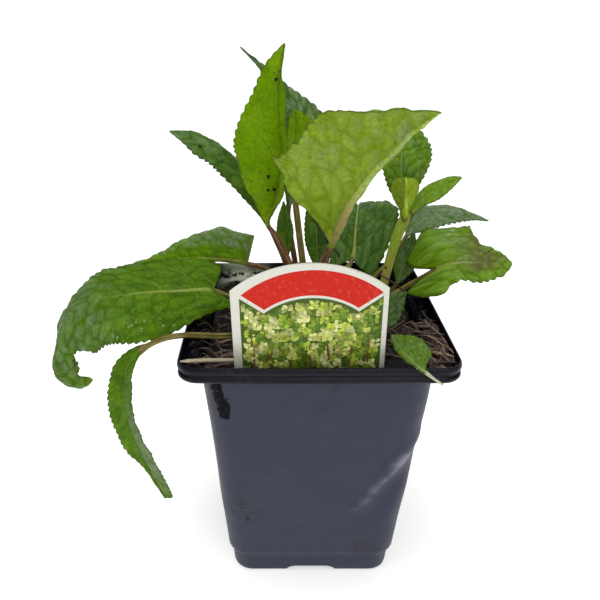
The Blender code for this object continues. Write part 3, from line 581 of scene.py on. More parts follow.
def leaf_surface():
    """Living leaf, from the places and the colours that Blade.fields gives."""
    s = Surface("living leaf", 0.42)
    along, across, phase = s.field("lamina")
    margin, side, share = s.field("state")
    tone, warm, brown = s.field("kind")
    sheen, rib_share, hollow = s.field("relief")
    rib_pale, vein_pale, pale_end = s.field("veins")
    pillow, bleached, wet = s.field("pillow")
    blade = s.node("CombineXYZ", {0: along, 1: across})

    # The blade: yellow green to blue green, mottled, with a tone of its own for each pillow; painted shade in
    # the hollows, strongest on the upper side, and a painted highlight on the pillow tops
    patches = s.noise(8.0, 3.0, blade)
    mottle = s.noise(1.7, 3.0, blade)
    shade = s.plus(tone, s.times(s.minus(patches, 0.5), 0.8), clamp=True)
    top = s.mix(shade, (0.205, 0.385, 0.001), (0.026, 0.092, 0.008))
    under = s.mix(shade, (0.420, 0.580, 0.030), (0.140, 0.260, 0.045))
    s.tint = s.mix(side, under, top)
    light = s.mix(side, (0.52, 0.66, 0.13), s.mix(shade, (0.27, 0.45, 0.012), (0.080, 0.190, 0.035)))
    fine = s.plus(0.16, s.times(side, 0.20))
    s.paint(light, s.times(s.step(mottle, 0.50, 0.72), fine))
    s.paint(light, s.step(pillow, 0.50, 1.0), 0.42)
    deep = s.mix(side, (0.080, 0.150, 0.006), (0.010, 0.034, 0.001))
    dark = s.mix(s.minus(0.62, s.times(side, 0.20)), s.tint, deep)
    s.paint(dark, s.times(s.step(mottle, 0.48, 0.30), s.times(fine, 1.6)))
    s.paint(dark, s.step(pillow, 0.45, 0.0), 0.36)
    # Painted shade in the hollows along the vein borders, broken up by noise, and a painted highlight on the
    # pillow tops
    groove_shade = s.times(s.step(hollow, 0.35, 1.0), s.step(s.noise(7.0, 2.0, blade), 0.25, 0.50))
    groove_shade = s.times(groove_shade, s.plus(0.82, s.times(side, 0.12)))
    s.paint(dark, groove_shade)
    s.paint(light, s.step(hollow, 0.25, 0.0), 0.16)

    # Veins: pale near the foot of the blade, and further out dark lines of painted shade in the sunken side
    # veins; between them a net of fine veins in painted shade, pale on a bleached leaf
    distance = s.calc("PINGPONG", phase, 0.5)
    lateral = s.step(distance, 0.042, 0.010)
    net = s.step(s.cells(1.9, "DISTANCE_TO_EDGE", blade), 0.085, 0.0)
    s.paint(s.mix(bleached, dark, (0.26, 0.38, 0.16)), net, 0.42)
    near = s.step(s.minus(share, pale_end), 0.0, -0.3)
    pale = s.times(near, s.step(s.noise(6.0, 1.0, blade), 0.36, 0.56))
    pale = s.times(pale, vein_pale)
    vein = s.mix(pale, dark, s.mix(side, (0.42, 0.50, 0.16), (0.30, 0.42, 0.09)))
    s.paint(vein, s.times(lateral, s.plus(0.45, s.times(pale, 0.4))))

    # The sheen: a painted reflection in dull grey green, strongest on the pillows, weaker in the hollows and
    # darker along the side veins
    cover = s.plus(s.times(s.noise(4.0, 3.0, blade, 0.6), 1.3), s.times(pillow, 0.4))
    cover = s.minus(cover, s.plus(0.04, s.times(hollow, 0.70)))
    painted_sheen = s.times(sheen, cover, clamp=True)
    painted_sheen_colour = s.mix(s.step(mottle, 0.36, 0.66), (0.150, 0.222, 0.105), (0.255, 0.345, 0.190))
    painted_sheen_colour = s.mix(s.times(lateral, 0.8), painted_sheen_colour, (0.10, 0.17, 0.06))
    s.paint(painted_sheen_colour, painted_sheen, 0.85)

    rib = s.step(rib_share, 1.20, 0.75)
    rib_colour = s.mix(warm, (0.28, 0.36, 0.08), (0.32, 0.19, 0.085))
    rib_colour = s.mix(s.step(share, 0.15, 0.5), rib_colour, (0.34, 0.44, 0.12))
    rib_colour = s.mix(bleached, rib_colour, (0.46, 0.52, 0.26))
    seen = s.times(rib_pale, near)
    s.paint(rib_colour, s.times(rib, s.times(seen, 0.9)))
    edge = s.step(margin, 0.50, 0.12)
    s.paint((0.030, 0.040, 0.010), edge, 0.55)
    blotch = s.times(brown, s.step(s.noise(2.0, 4.0, blade, 0.7), 0.32, 0.54))
    s.paint((0.150, 0.085, 0.055), blotch, 0.75)
    spots = s.step(s.cells(9.0, where=blade), 0.034, 0.020)
    spots = s.times(spots, s.step(s.noise(14.0, 0.0, blade), 0.50, 0.55))
    s.paint((0.035, 0.022, 0.010), spots, 0.8)
    # Water droplets, drawn only as painted glints in pale green on the upper side where the leaf is wet
    size = s.times(s.step(s.noise(4.0, 2.0, blade), 0.40, 0.66), 0.25)
    droplet_glints = s.calc("LESS_THAN", s.cells(2.2, where=blade), size)
    droplet_glints = s.times(s.times(droplet_glints, side), wet)
    s.paint((0.46, 0.60, 0.34), droplet_glints, 0.5)

    stalk = s.step(share, 0.0, -0.04)
    fibre = s.noise(1.0, 3.0, s.scaled(blade, (0.15, 1.5, 1.0)))
    stalk_colour = s.mix(warm, (0.10, 0.12, 0.015), (0.115, 0.035, 0.030))
    stalk_light = s.mix(warm, (0.24, 0.24, 0.05), (0.30, 0.135, 0.075))
    stalk_colour = s.mix(s.step(fibre, 0.38, 0.66), stalk_colour, stalk_light)
    stalk_colour = s.mix(bleached, stalk_colour, s.mix(fibre, (0.30, 0.32, 0.16), (0.62, 0.62, 0.46)))
    s.paint(stalk_colour, stalk)
    s.colour(s.tint)

    rough = s.plus(0.30, s.times(s.noise(1.6, 2.0, blade), 0.28))
    s.rough(s.minus(rough, s.times(painted_sheen, 0.06)))
    gloss = s.plus(0.05, s.times(painted_sheen, 0.16))
    s.gloss(s.plus(gloss, s.times(stalk, 0.08)))
    s.bump(net, -0.10)
    s.bump(mottle, 0.22)
    s.bump(s.noise(0.8, 2.0), 0.05)

    through = s.node("BsdfTranslucent", {"Color": s.mix(0.5, s.tint, (0.42, 0.62, 0.01))})
    thick = s.calc("MAXIMUM", s.calc("MAXIMUM", rib, stalk), s.times(lateral, 0.4))
    amount = s.minus(0.42, s.times(side, 0.14))
    amount = s.times(s.minus(1.0, thick), amount)
    mixed = s.tree.nodes.new("ShaderNodeMixShader")
    s.put(mixed.inputs[0], amount)
    s.tree.links.new(s.shader.outputs[0], mixed.inputs[1])
    s.tree.links.new(through, mixed.inputs[2])
    s.tree.links.new(mixed.outputs[0], s.output.inputs["Surface"])
    return s.material


def pot_surface():
    """Dark moulded plastic, a little dusty, with wet smears and dried splashes, near black and glossier on
    its lip, with painted shade inside, a painted highlight along the buckle and a painted reflection at the
    back left.
    """
    s = Surface("pot plastic", 0.42)
    dirt, wet, lip = s.field("marks")
    crease_highlight, rim_reflection, _ = s.field("wear")
    cloud = s.noise(22.0, 3.0)
    s.tint = s.mix(cloud, (0.015, 0.019, 0.040), (0.024, 0.028, 0.052))
    dust = s.step(s.noise(4.0, 5.0, roughness=0.65), 0.52, 0.78)
    s.paint((0.070, 0.068, 0.085), dust, 0.16)
    inner = s.minus(lip, 1.0, clamp=True)
    lip = s.calc("MINIMUM", lip, 1.0)
    # The lip, the ledge and the inner walls are painted near black, less where dust lies: painted shade on
    # the ledge and inner walls
    black = s.times(lip, s.minus(1.0, s.times(dust, 0.5)))
    s.paint((0.004, 0.003, 0.007), black)
    # Painted highlight along the buckle, broken up by noise
    crease_highlight = s.times(crease_highlight, s.plus(0.35, s.step(s.noise(7.0, 2.0), 0.35, 0.60)), clamp=True)
    s.paint((0.26, 0.27, 0.33), crease_highlight, 0.6)
    # Painted reflection, pale grey, on the inner wall and ledge at the back left
    pale = s.times(rim_reflection, s.step(s.noise(3.0, 4.0, s.scaled(s.place, (0.5, 0.5, 1.5))), 0.30, 0.50))
    s.paint((0.42, 0.45, 0.37), pale, 0.95)
    splash = s.times(s.step(s.noise(2.2, 4.0, roughness=0.7), 0.45, 0.6), dirt)
    s.paint((0.020, 0.013, 0.010), splash)
    soaked = s.step(s.plus(wet, s.times(s.noise(1.6, 3.0), 0.5)), 1.10, 1.22)
    s.paint((0.003, 0.003, 0.006), soaked)
    s.colour(s.tint)
    matt = s.plus(0.36, s.times(s.noise(6.0, 4.0), 0.22))
    matt = s.plus(matt, s.times(splash, 0.3))
    matt = s.minus(matt, s.times(lip, 0.16))
    s.rough(s.minus(matt, s.times(soaked, 0.22)))
    gloss = s.minus(0.30, s.times(lip, 0.15))
    gloss = s.minus(gloss, s.times(inner, 0.15))
    gloss = s.times(gloss, s.minus(1.0, s.times(soaked, 0.85)))
    s.gloss(gloss)
    s.bump(s.noise(0.7, 3.0), 0.03)
    s.bump(splash, 0.15)
    return s.material


def soil_surface():
    """Dark moist compost with a few pale bits."""
    s = Surface("wet compost", 0.55)
    grain = s.noise(1.1, 5.0, roughness=0.7)
    s.tint = s.mix(grain, (0.002, 0.0015, 0.002), (0.018, 0.011, 0.011))
    s.paint((0.012, 0.008, 0.011), s.step(s.noise(5.0, 3.0), 0.5, 0.75))
    s.paint((0.15, 0.10, 0.07), s.step(s.cells(1.6), 0.14, 0.07))
    s.colour(s.tint)
    s.rough(s.plus(0.35, s.times(s.noise(2.5, 2.0), 0.5)))
    s.gloss(0.22)
    s.bump(grain, 0.6)
    s.bump(s.noise(0.45, 2.0), 0.2)
    return s.material


def fibre_surface(name, dark, light):
    """Dead root, straw or twig, finely streaked, with a shade of its own for each strand."""
    s = Surface(name, 0.65)
    shade, red, _ = s.field("strand")
    streak = s.noise(0.6, 4.0, s.scaled(s.place, (1.0, 1.0, 2.5)))
    s.tint = s.mix(s.calc("POWER", shade, 1.6), dark, light)
    s.paint((0.16, 0.075, 0.075), s.step(red, 0.5, 1.0), 0.35)
    s.paint(s.mix(0.6, s.tint, dark), s.step(streak, 0.4, 0.7))
    s.colour(s.tint)
    s.rough(s.plus(0.5, s.times(streak, 0.3)))
    s.bump(streak, 0.15)
    return s.material


def label_surface():
    """White plastic with a trace of soil on it."""
    s = Surface("label plastic", 0.32)
    grime = s.step(s.noise(3.0, 5.0, roughness=0.7), 0.56, 0.80)
    s.tint = s.mix(s.times(grime, 0.45), (0.66, 0.655, 0.57), (0.36, 0.32, 0.27))
    specks = s.step(s.cells(2.6), 0.10, 0.05)
    s.paint((0.10, 0.07, 0.05), specks, 0.7)
    s.colour(s.tint)
    s.rough(s.plus(0.25, s.times(s.noise(5.0, 3.0), 0.2)))
    s.bump(s.noise(1.2, 2.0), 0.02)
    return s.material


def ink_surface():
    """Printed ink, whose colour each motif stores."""
    s = Surface("printed ink", 0.35)
    ink = s.node("Attribute", {}, "Vector", attribute_name="ink")
    worn = s.step(s.noise(1.3, 4.0, roughness=0.7), 0.52, 0.80)
    s.tint = s.mix(s.times(worn, 0.22), ink, s.mix(0.6, ink, (0.9, 0.8, 0.6)))
    s.colour(s.tint)
    s.rough(s.plus(0.26, s.times(s.noise(4.0, 2.0), 0.2)))
    s.gloss(0.12)
    return s.material


def shoot_surface():
    """Ribbed green stem, flushed with brown."""
    s = Surface("green stem", 0.4)
    ridge = s.noise(0.8, 4.0, s.scaled(s.place, (1.0, 1.0, 0.08)))
    s.tint = s.mix(ridge, (0.10, 0.19, 0.006), (0.34, 0.42, 0.04))
    flush = s.step(s.noise(7.0, 2.0, s.scaled(s.place, (1.0, 1.0, 0.4))), 0.46, 0.66)
    s.paint((0.30, 0.17, 0.07), flush)
    s.colour(s.mix(s.step(s.noise(2.4, 2.0), 0.66, 0.74), s.tint, (0.05, 0.025, 0.012)))
    s.rough(s.plus(0.3, s.times(ridge, 0.2)))
    s.gloss(0.15)
    s.bump(ridge, 0.25)
    return s.material


def floor_surface():
    """Matt white floor that glows a little, as in a light tent."""
    s = Surface("pale floor", 0.6)
    s.colour(s.mix(s.noise(60.0, 2.0), (0.93, 0.93, 0.93), (0.95, 0.95, 0.95)))
    s.shader.inputs["Emission Color"].default_value = (1, 1, 1, 1)
    s.shader.inputs["Emission Strength"].default_value = 0.45
    return s.material


def eased(values, along):
    """Values given evenly along the blade, read at every station."""
    values = np.array(values, float)
    spots = np.linspace(0, 1, len(values)) if len(values) > 1 else np.zeros(1)
    return np.stack([np.interp(np.clip(along, 0, 1), spots, column) for column in values.T], 1)


def carried(ahead, wanted, along, follow):
    """Upper side at each station: turned with the rib from the blade's base, or led by the given ones."""
    first = int(np.argmax(along >= 0))
    up = np.zeros_like(ahead)
    up[first] = unit(wanted[first] - wanted[first] @ ahead[first] * ahead[first])
    for order in (range(first + 1, len(ahead)), range(first - 1, -1, -1)):
        last = first
        for i in order:
            base = wanted[i] if follow and along[i] > 0 else up[last]
            up[i] = unit(base - base @ ahead[i] * ahead[i])
            last = i
    return up


def blade_widths(leaf, t):
    """Left and right half width at each share of the blade."""
    curve, _ = smooth_path(np.column_stack([np.linspace(0, 1, len(leaf.widths)), leaf.widths]))
    return np.stack([np.interp(t, curve[:, 0], curve[:, side]) for side in (1, 2)], 1)


def both_faces(values):
    """Values for a ring that crosses the upper side and comes back along the lower one."""
    return np.concatenate([values, values[:, ::-1]], 1)


class Blade:
    """The middle surface of a leaf's blade, as a grid of rows from its base to its tip."""

    def __init__(self, leaf):
        self.leaf = leaf
        curve, length = smooth_path(leaf.rib)
        start = length[leaf.blade * PATH_STEPS]
        self.span = length[-1] - start
        teeth = max(6, round(self.span / leaf.tooth[0]))
        self.stalk_rows = max(4, round(start / STALK_PITCH))
        stalk = np.linspace(0, start, self.stalk_rows, endpoint=False)
        self.t = np.linspace(0, 1, teeth * len(TOOTH_PROFILE) + 1)
        where = np.concatenate([stalk, start + self.span * self.t])
        self.place, self.ahead = at(curve, length, where), ahead_at(curve, length, where)
        self.along = (where - start) / self.span
        wanted = eased(leaf.face, self.along)
        self.up = carried(self.ahead, wanted, self.along, len(leaf.face) > 1)
        self.left = np.cross(self.up, self.ahead)
        self.columns = int(np.clip(round(np.max(leaf.widths) / COLUMN_PITCH), 7, 34))
        self.build()

    def build(self):
        """Spreads the two halves from the midrib, each folded, curled and toothed in its own way."""
        leaf, t, columns = self.leaf, self.t, self.columns
        rows = slice(self.stalk_rows, None)
        place, ahead, up, left = (part[rows] for part in (self.place, self.ahead, self.up, self.left))
        fold, curl = eased(leaf.fold, t), eased(leaf.curl, t)
        widths = blade_widths(leaf, t)
        u = np.linspace(0, 1, columns + 1)
        fine = (np.resize(TOOTH_PROFILE, len(t)) - 0.6) * leaf.tooth[1]
        coarse = ((t * self.span / leaf.step[0]) % 1.0) - 0.5
        margin = fine + coarse * leaf.step[1]
        sides = []
        for hand, sign in ((0, 1), (1, -1)):
            reach = np.maximum(widths[:, hand], 0.12 + leaf.stalk[1] * (1 - t))
            back = leaf.lobe[hand] * np.clip(1 - t / 0.35, 0, 1) ** 2
            turn = np.clip((u - leaf.bend[0]) / (leaf.bend[1] - leaf.bend[0]), 0, 1)
            angles = np.radians(fold[:, hand, None] + curl[:, hand, None] * turn)
            middle = (angles[:, 1:] + angles[:, :-1]) / 2
            zero = np.zeros((len(t), 1))
            out = np.hstack([zero, np.cumsum(np.cos(middle) / columns, 1)]) * reach[:, None]
            rise = np.hstack([zero, np.cumsum(np.sin(middle) / columns, 1)]) * reach[:, None]
            lobe = back[:, None] * (1 - (1 - u) ** 2.2)
            spot = place[:, None] + sign * out[..., None] * left[:, None] + rise[..., None] * up[:, None]
            spot = spot - lobe[..., None] * ahead[:, None]
            # Teeth push the outer part of the blade outwards and a little towards the tip
            push = (margin * np.clip(reach / 6, 0, 1))[:, None] * smooth_step(0.72, 1, u)
            outward = sign * np.cos(angles)[..., None] * left[:, None]
            outward = outward + np.sin(angles)[..., None] * up[:, None]
            spot = spot + push[..., None] * (outward + 0.35 * ahead[:, None])
            sides.append((spot, u * reach[:, None]))
        (left_spot, left_across), (right_spot, right_across) = sides
        self.middle = np.concatenate([left_spot[:, :0:-1], right_spot], 1)
        self.across = np.concatenate([left_across[:, :0:-1], -right_across], 1)
        self.u = np.concatenate([u[:0:-1], u])
        self.normal = self.normals(up)
        self.relief()

    def normals(self, up):
        """Directions out of the upper side at every point of the grid."""
        down = np.gradient(self.middle, axis=0)
        over = np.gradient(self.middle, axis=1)
        normal = unit(np.cross(down, over))
        facing = np.einsum("rci,ri->rc", normal, up)
        sign = np.where(facing[:, self.columns] < 0, -1.0, 1.0)
        return normal * sign[:, None, None]

    def relief(self):
        """Sunken veins with raised pillows between them, and the waves of the margin."""
        leaf = self.leaf
        seed = sum(ord(letter) * (i + 1) for i, letter in enumerate(leaf.name))
        s = np.broadcast_to((self.t * self.span)[:, None], self.across.shape)
        v = self.across
        grid = np.stack([s, v], -1)
        hand = np.where(v >= 0, 0.0, 0.4)
        scale = leaf.vein / 6.0
        bowed = s - 0.85 * np.abs(v) - 0.012 * v**2
        swing = 1.5 * wobble(grid, 22 * scale, seed) + 0.45 * wobble(grid, 7 * scale, seed + 5)
        bowed = bowed + scale * swing
        self.phase = bowed / leaf.vein + hand
        distance = np.abs((self.phase + 0.5) % 1 - 0.5) * leaf.vein * 0.8
        quilt, self.shade = self.cells(bowed, v, seed)
        inside = 1 - smooth_step(0.86, 1.0, self.u)
        self.hollow = 1 - quilt * (0.6 + 0.4 * inside)
        self.rib = (0.20 + 0.62 * leaf.stalk[1] * (1 - self.t) ** 2)[:, None]
        height = 1.1 * leaf.puff * quilt * (0.35 + 0.65 * inside)
        height = height + 0.22 * leaf.puff * wobble(grid, 7 * scale, seed + 2)
        height = height * smooth_step(0.6, 3.0, np.abs(v) / self.rib)
        height = height - 0.45 * leaf.stalk[1] * np.exp(-((v / (0.7 * leaf.stalk[1])) ** 2))
        wave = leaf.wave * self.u**2.5 * wobble(grid, 20, seed + 3)
        wave = wave + 0.4 * leaf.wave * self.u**4 * wobble(grid, 7, seed + 4)
        wave = wave * np.clip(np.abs(v) / 4, 0, 1)
        fade = (smooth_step(0, 0.1, self.t) * (1 - 0.8 * smooth_step(0.88, 1.0, self.t)))[:, None]
        self.middle = self.middle + self.normal * (height * fade + wave * fade)[..., None]
        self.normal = self.normals(self.up[self.stalk_rows :])
        ridge = 0.62 * leaf.stalk[1] * (1 - self.t[:, None]) ** 0.8 * np.exp(-((v / (1.2 * self.rib)) ** 2))
        side_veins = 0.22 * scale * np.exp(-((distance / 0.40) ** 2)) * (1 - 0.8 * self.u)
        self.below = ridge + side_veins * fade

    def cells(self, bowed, v, seed):
        """Pillows of uneven size between the side veins: 0 on their borders to 1 on top, and a shade each."""
        draw = np.random.default_rng(seed)
        vein, reach = self.leaf.vein, np.max(np.abs(v))
        pitch = 0.62 * vein
        total, shade = np.full(v.shape, FAR), np.zeros(v.shape)
        for side in (-1, 1):
            shift = 0.0 if side > 0 else 0.4
            low, high = np.min(bowed), np.max(bowed)
            first, second = np.full(v.shape, 1e9), np.full(v.shape, 1e9)
            own = np.zeros(v.shape)
            for row in range(math.floor(low / vein) - 1, math.ceil(high / vein) + 1):
                for column in range(math.ceil(reach / pitch) + 1):
                    centre = np.array([(row + 0.5 - shift) * vein, (column + 0.5) * pitch])
                    centre = centre + draw.uniform(-0.38, 0.38, 2) * (vein, pitch)
                    gap = np.hypot((bowed - centre[0]) * 0.8, np.abs(v) - centre[1])
                    gap = gap - draw.uniform(0, 0.12) * vein
                    second = np.minimum(second, np.maximum(first, gap))
                    own = np.where(gap < first, draw.random(), own)
                    first = np.minimum(first, gap)
            total = np.where(v * side >= 0, second - first, total)
            shade = np.where(v * side >= 0, own, shade)
        return 1 - np.exp(-((total / (0.24 * vein)) ** 1.4)), shade

    def rings(self):
        """Closed rings from the foot of the stalk to the tip, with the fields that the material reads."""
        leaf = self.leaf
        thick = (BLADE_THICK + self.u * (EDGE_THICK - BLADE_THICK)) / 2
        upper = self.middle + self.normal * thick[:, None]
        lower = self.middle - self.normal * (thick + self.below)[..., None]
        blade = np.concatenate([upper, lower[:, ::-1]], 1)
        count = blade.shape[1]
        frame = np.stack([self.left, self.up, self.ahead], 1)
        first = self.stalk_rows
        shape = (blade[0] - self.place[first]) @ frame[first].T
        angles = math.tau * (0.5 + np.arange(count)) / count
        stalk = []
        for i in range(first):
            share = 1 + self.along[i] / abs(self.along[0])
            radius = leaf.stalk[0] + share * (leaf.stalk[1] - leaf.stalk[0])
            groove = 0.35 * radius * np.exp(-(((angles - math.pi / 2) / 0.45) ** 2))
            groove = groove * smooth_step(0.15, 0.6, share)
            round_shape = np.stack([radius * np.cos(angles), radius * np.sin(angles) - groove, 0 * angles], 1)
            blend = smooth_step(-6.0, 0.0, self.along[i] * self.span) if max(leaf.widths[0]) < 3 else 0.0
            stalk.append(self.place[i] + ((1 - blend) * round_shape + blend * shape) @ frame[i])
        rings = np.concatenate([np.array(stalk), blade])
        return rings, self.fields(np.cos(angles) * leaf.stalk[1])

    def fields(self, stalk_across):
        """What the material reads at each point: its place on the blade, its colours, its relief with the
        hollows that get painted shade, the painted sheen and the painted glints of water droplets.
        """
        leaf, first = self.leaf, self.stalk_rows
        shape = (len(self.along), len(stalk_across))
        across, phase = both_faces(self.across), both_faces(self.phase)
        lamina = np.zeros((*shape, 3))
        lamina[..., 0] = (self.along * self.span)[:, None]
        lamina[:first, :, 1], lamina[first:, :, 1] = stalk_across, across
        lamina[:first, :, 2], lamina[first:, :, 2] = phase[:1], phase

        u = np.concatenate([self.u, self.u[::-1]])
        hand = (across < 0).astype(int)
        widths = blade_widths(leaf, np.clip(self.along, 0, 1))[first:]
        share = np.broadcast_to(self.along[:, None], shape)
        state = np.full((*shape, 3), FAR)
        state[first:, :, 0] = (1 - u) * np.where(hand == 0, widths[:, :1], widths[:, 1:])
        state[..., 1] = np.repeat([1.0, 0.0], shape[1] // 2)
        state[..., 2] = share

        kind = np.zeros((*shape, 3))
        kind[..., 0], kind[..., 1] = leaf.tone, leaf.warm
        if leaf.name in BLOTCHES:
            place, reach = BLOTCHES[leaf.name]
            kind[..., 2] = np.exp(-(((share - place) / reach) ** 2)) * smooth_step(2.0, 5.0, state[..., 0])
        relief = np.zeros((*shape, 3))
        # Painted sheen, a grey green reflection, per half from base to tip; on a bent leaf only from a little
        # before the bend outwards
        sheen = eased(leaf.sheen, self.t)
        sheen = np.where(hand == 0, sheen[:, :1], sheen[:, 1:])
        if leaf.bend[0] > 0:
            sheen = sheen * smooth_step(leaf.bend[0] - 0.25, leaf.bend[0] - 0.05, u)
        relief[first:, :, 0] = sheen
        relief[:first, :, 1], relief[first:, :, 1] = FAR, np.abs(across) / self.rib
        # Hollows, where the material paints shade, weaker on flatter leaves
        relief[first:, :, 2] = both_faces(self.hollow) * min(1, 2 * leaf.puff)
        pillow = np.zeros((*shape, 3))
        pillow[first:, :, 0] = both_faces(self.shade)
        pillow[..., 1] = leaf.name in PALE_STALKS
        # Glints of water droplets, painted on the outer part of the left half
        if leaf.name in DROPLET_GLINTS:
            place, reach = DROPLET_GLINTS[leaf.name]
            wet = np.exp(-(((share[first:] - place) / reach) ** 2)) * smooth_step(0.45, 0.7, u)
            pillow[first:, :, 2] = wet * (hand == 0)
        veins = np.broadcast_to(leaf.pale, (*shape, 3))
        return {"lamina": lamina, "state": state, "kind": kind, "relief": relief, "veins": veins,
                "pillow": pillow}

    def spot(self, t, hand, u):
        """A point on the upper side, and the direction out of it."""
        row = int(round(t * (len(self.t) - 1)))
        column = int(round(self.columns * (1 - u if hand == 0 else 1 + u)))
        return self.middle[row, column], self.normal[row, column]


def make_leaf(leaf, material):
    """Grows one leaf and gives back its blade."""
    blade = Blade(leaf)
    rings, fields = blade.rings()
    points, faces = skin(rings)
    add_piece(leaf.name + "_grown", points, faces, material, (leaf.name,), fields)
    return blade


def rounded_square(half, radius, height, side=RING_SIDE):
    """A ring of points round a square with round corners, counter-clockwise from above."""
    ring = []
    for turn in range(4):
        middle = math.radians(45 + 90 * turn)
        centre = (half - radius) * math.sqrt(2) * np.array([math.cos(middle), math.sin(middle)])
        angles = np.radians(90 * turn + 90 * np.arange(RING_CORNER) / (RING_CORNER - 1))
        arc = [centre + radius * np.array([math.cos(angle), math.sin(angle)]) for angle in angles]
        ring += arc
        far = math.radians(90 * (turn + 1))
        end = arc[-1] + 2 * (half - radius) * np.array([-math.sin(far), math.cos(far)])
        ring += [arc[-1] + (end - arc[-1]) * i / side for i in range(1, side)]
    ring = np.array(ring)
    return np.column_stack([ring, np.full(len(ring), height)])


def body_half(height):
    """Half of the outer side between the step and the lip, and the radius of its corners."""
    share = (height - STEP_HEIGHT) / (LIP_BOTTOM - STEP_HEIGHT)
    half = BODY_BASE_HALF + share * (BODY_TOP_HALF - BODY_BASE_HALF)
    return half, BODY_BASE_RADIUS + share * (BODY_TOP_RADIUS - BODY_BASE_RADIUS)


def inner_half(height):
    """Half of the inner side below the ledge, and the radius of its corners."""
    share = (height - FLOOR_TOP) / (LIP_BOTTOM - FLOOR_TOP)
    base = BODY_BASE_HALF - WALL - STEP_DEPTH
    half = base + share * (BODY_TOP_HALF - WALL - base)
    return half, BODY_BASE_RADIUS - WALL + share * (BODY_TOP_RADIUS - BODY_BASE_RADIUS)


def line_distance(points, line):
    """Distance of flat points from a polyline, and which side of it they lie on."""
    best = np.full(len(points), 1e9)
    side = np.zeros(len(points))
    for a, b in zip(np.array(line[:-1]), np.array(line[1:])):
        along = b - a
        t = np.clip((points - a) @ along / (along @ along), 0, 1)
        gap = points - (a + t[:, None] * along)
        distance = np.linalg.norm(gap, axis=1)
        cross = along[0] * gap[:, 1] - along[1] * gap[:, 0]
        closer = distance < best
        best[closer], side[closer] = distance[closer], np.sign(cross[closer])
    return best, side


def pot_profile():
    """(half side, corner radius, height) from under a foot, up the outside and down the inside."""
    ledge, groove = LIP_BOTTOM + WALL, STEP_HEIGHT - STEP_DEPTH
    stepped = BODY_BASE_HALF - STEP_DEPTH
    feet = ((1.2, 0), (0.6, 0.16), (0.16, 0.6), (0, FOOT_ROUNDING))
    profile = [(FOOT_HALF - inset, BODY_BASE_RADIUS - inset, height) for inset, height in feet]
    for share in (0.25, 0.5, 0.75, 1.0):
        height = FOOT_ROUNDING + share * (groove - 0.3 - FOOT_ROUNDING)
        profile.append((FOOT_HALF + share * (stepped - FOOT_HALF), BODY_BASE_RADIUS, height))
    profile += [
        (stepped + 0.15, BODY_BASE_RADIUS, groove),
        (BODY_BASE_HALF - 0.45, BODY_BASE_RADIUS, STEP_HEIGHT - 0.6),
        (BODY_BASE_HALF - 0.1, BODY_BASE_RADIUS, STEP_HEIGHT - 0.2),
    ]
    wall = np.linspace(STEP_HEIGHT + 0.3, LIP_BOTTOM - 1.2, 54)
    profile += [(*body_half(height), height) for height in wall]
    profile += [
        (BODY_TOP_HALF + 0.35, BODY_TOP_RADIUS, LIP_BOTTOM - 0.35),
        (BODY_TOP_HALF + 1.0, BODY_TOP_RADIUS, LIP_BOTTOM),
    ]
    profile += [(LIP_HALF - inset, LIP_RADIUS, LIP_BOTTOM + rise) for inset, rise in LIP_OUTSIDE]
    profile += [(LIP_HALF - inset, LIP_RADIUS - less, POT_HEIGHT - drop) for inset, less, drop in LIP_RIM]
    profile += [(LIP_HALF - WALL - inset, LIP_RADIUS - WALL, ledge + rise) for inset, rise in LIP_INSIDE]
    profile += [
        (BODY_TOP_HALF + 0.8, BODY_TOP_RADIUS - WALL, ledge),
        (BODY_TOP_HALF, BODY_TOP_RADIUS - WALL, ledge - 0.3),
    ]
    profile += [(*inner_half(height), height) for height in np.linspace(LIP_BOTTOM, FLOOR_TOP + 0.5, 40)]
    return [*profile, (inner_half(FLOOR_TOP)[0] - 0.5, BODY_BASE_RADIUS, FLOOR_TOP)]


def make_pot(material):
    """The pot with its bulges, its wavy lip and the buckle in its front wall."""
    rings = np.array([rounded_square(*level) for level in pot_profile()])
    points, faces = skin_round(rings)
    outward = unit(points * (1, 1, 0))
    height = points[:, 2]
    wall = smooth_step(STEP_HEIGHT, 30, height) * (1 - smooth_step(80, LIP_BOTTOM - 1, height))
    bulge = wobble(points, 60, 11) * 0.45 + wobble(points, 24, 12) * 0.12
    points = points + outward * (wall * bulge)[:, None]
    lip = smooth_step(LIP_BOTTOM - 1, LIP_BOTTOM, height)
    points[:, 2] += lip * wobble(points[:, :2], 70, 13) * 0.35

    # The buckle: a soft ridge along the line and a hollow below it, deepest at the corner
    front = smooth_step(-BODY_BASE_HALF + 6, -BODY_BASE_HALF, points[:, 1]) * (height < LIP_BOTTOM - 1)
    flat = np.stack([points[:, 0], height], 1)
    distance, side = line_distance(flat, CREASE)
    power = smooth_step(12, 28, points[:, 0]) * front
    ridge = 1.2 * np.exp(-((distance / 1.9) ** 2)) - 1.6 * np.exp(-(((distance - 5) / 4.0) ** 2)) * (side > 0)
    points[:, 1] -= power * ridge

    pot = add_piece("nursery_pot", points, faces, material, ("pot",))
    cut_feet(pot)
    pot.data.set_sharp_from_angle(angle=math.radians(50))
    mark_pot(pot.data)


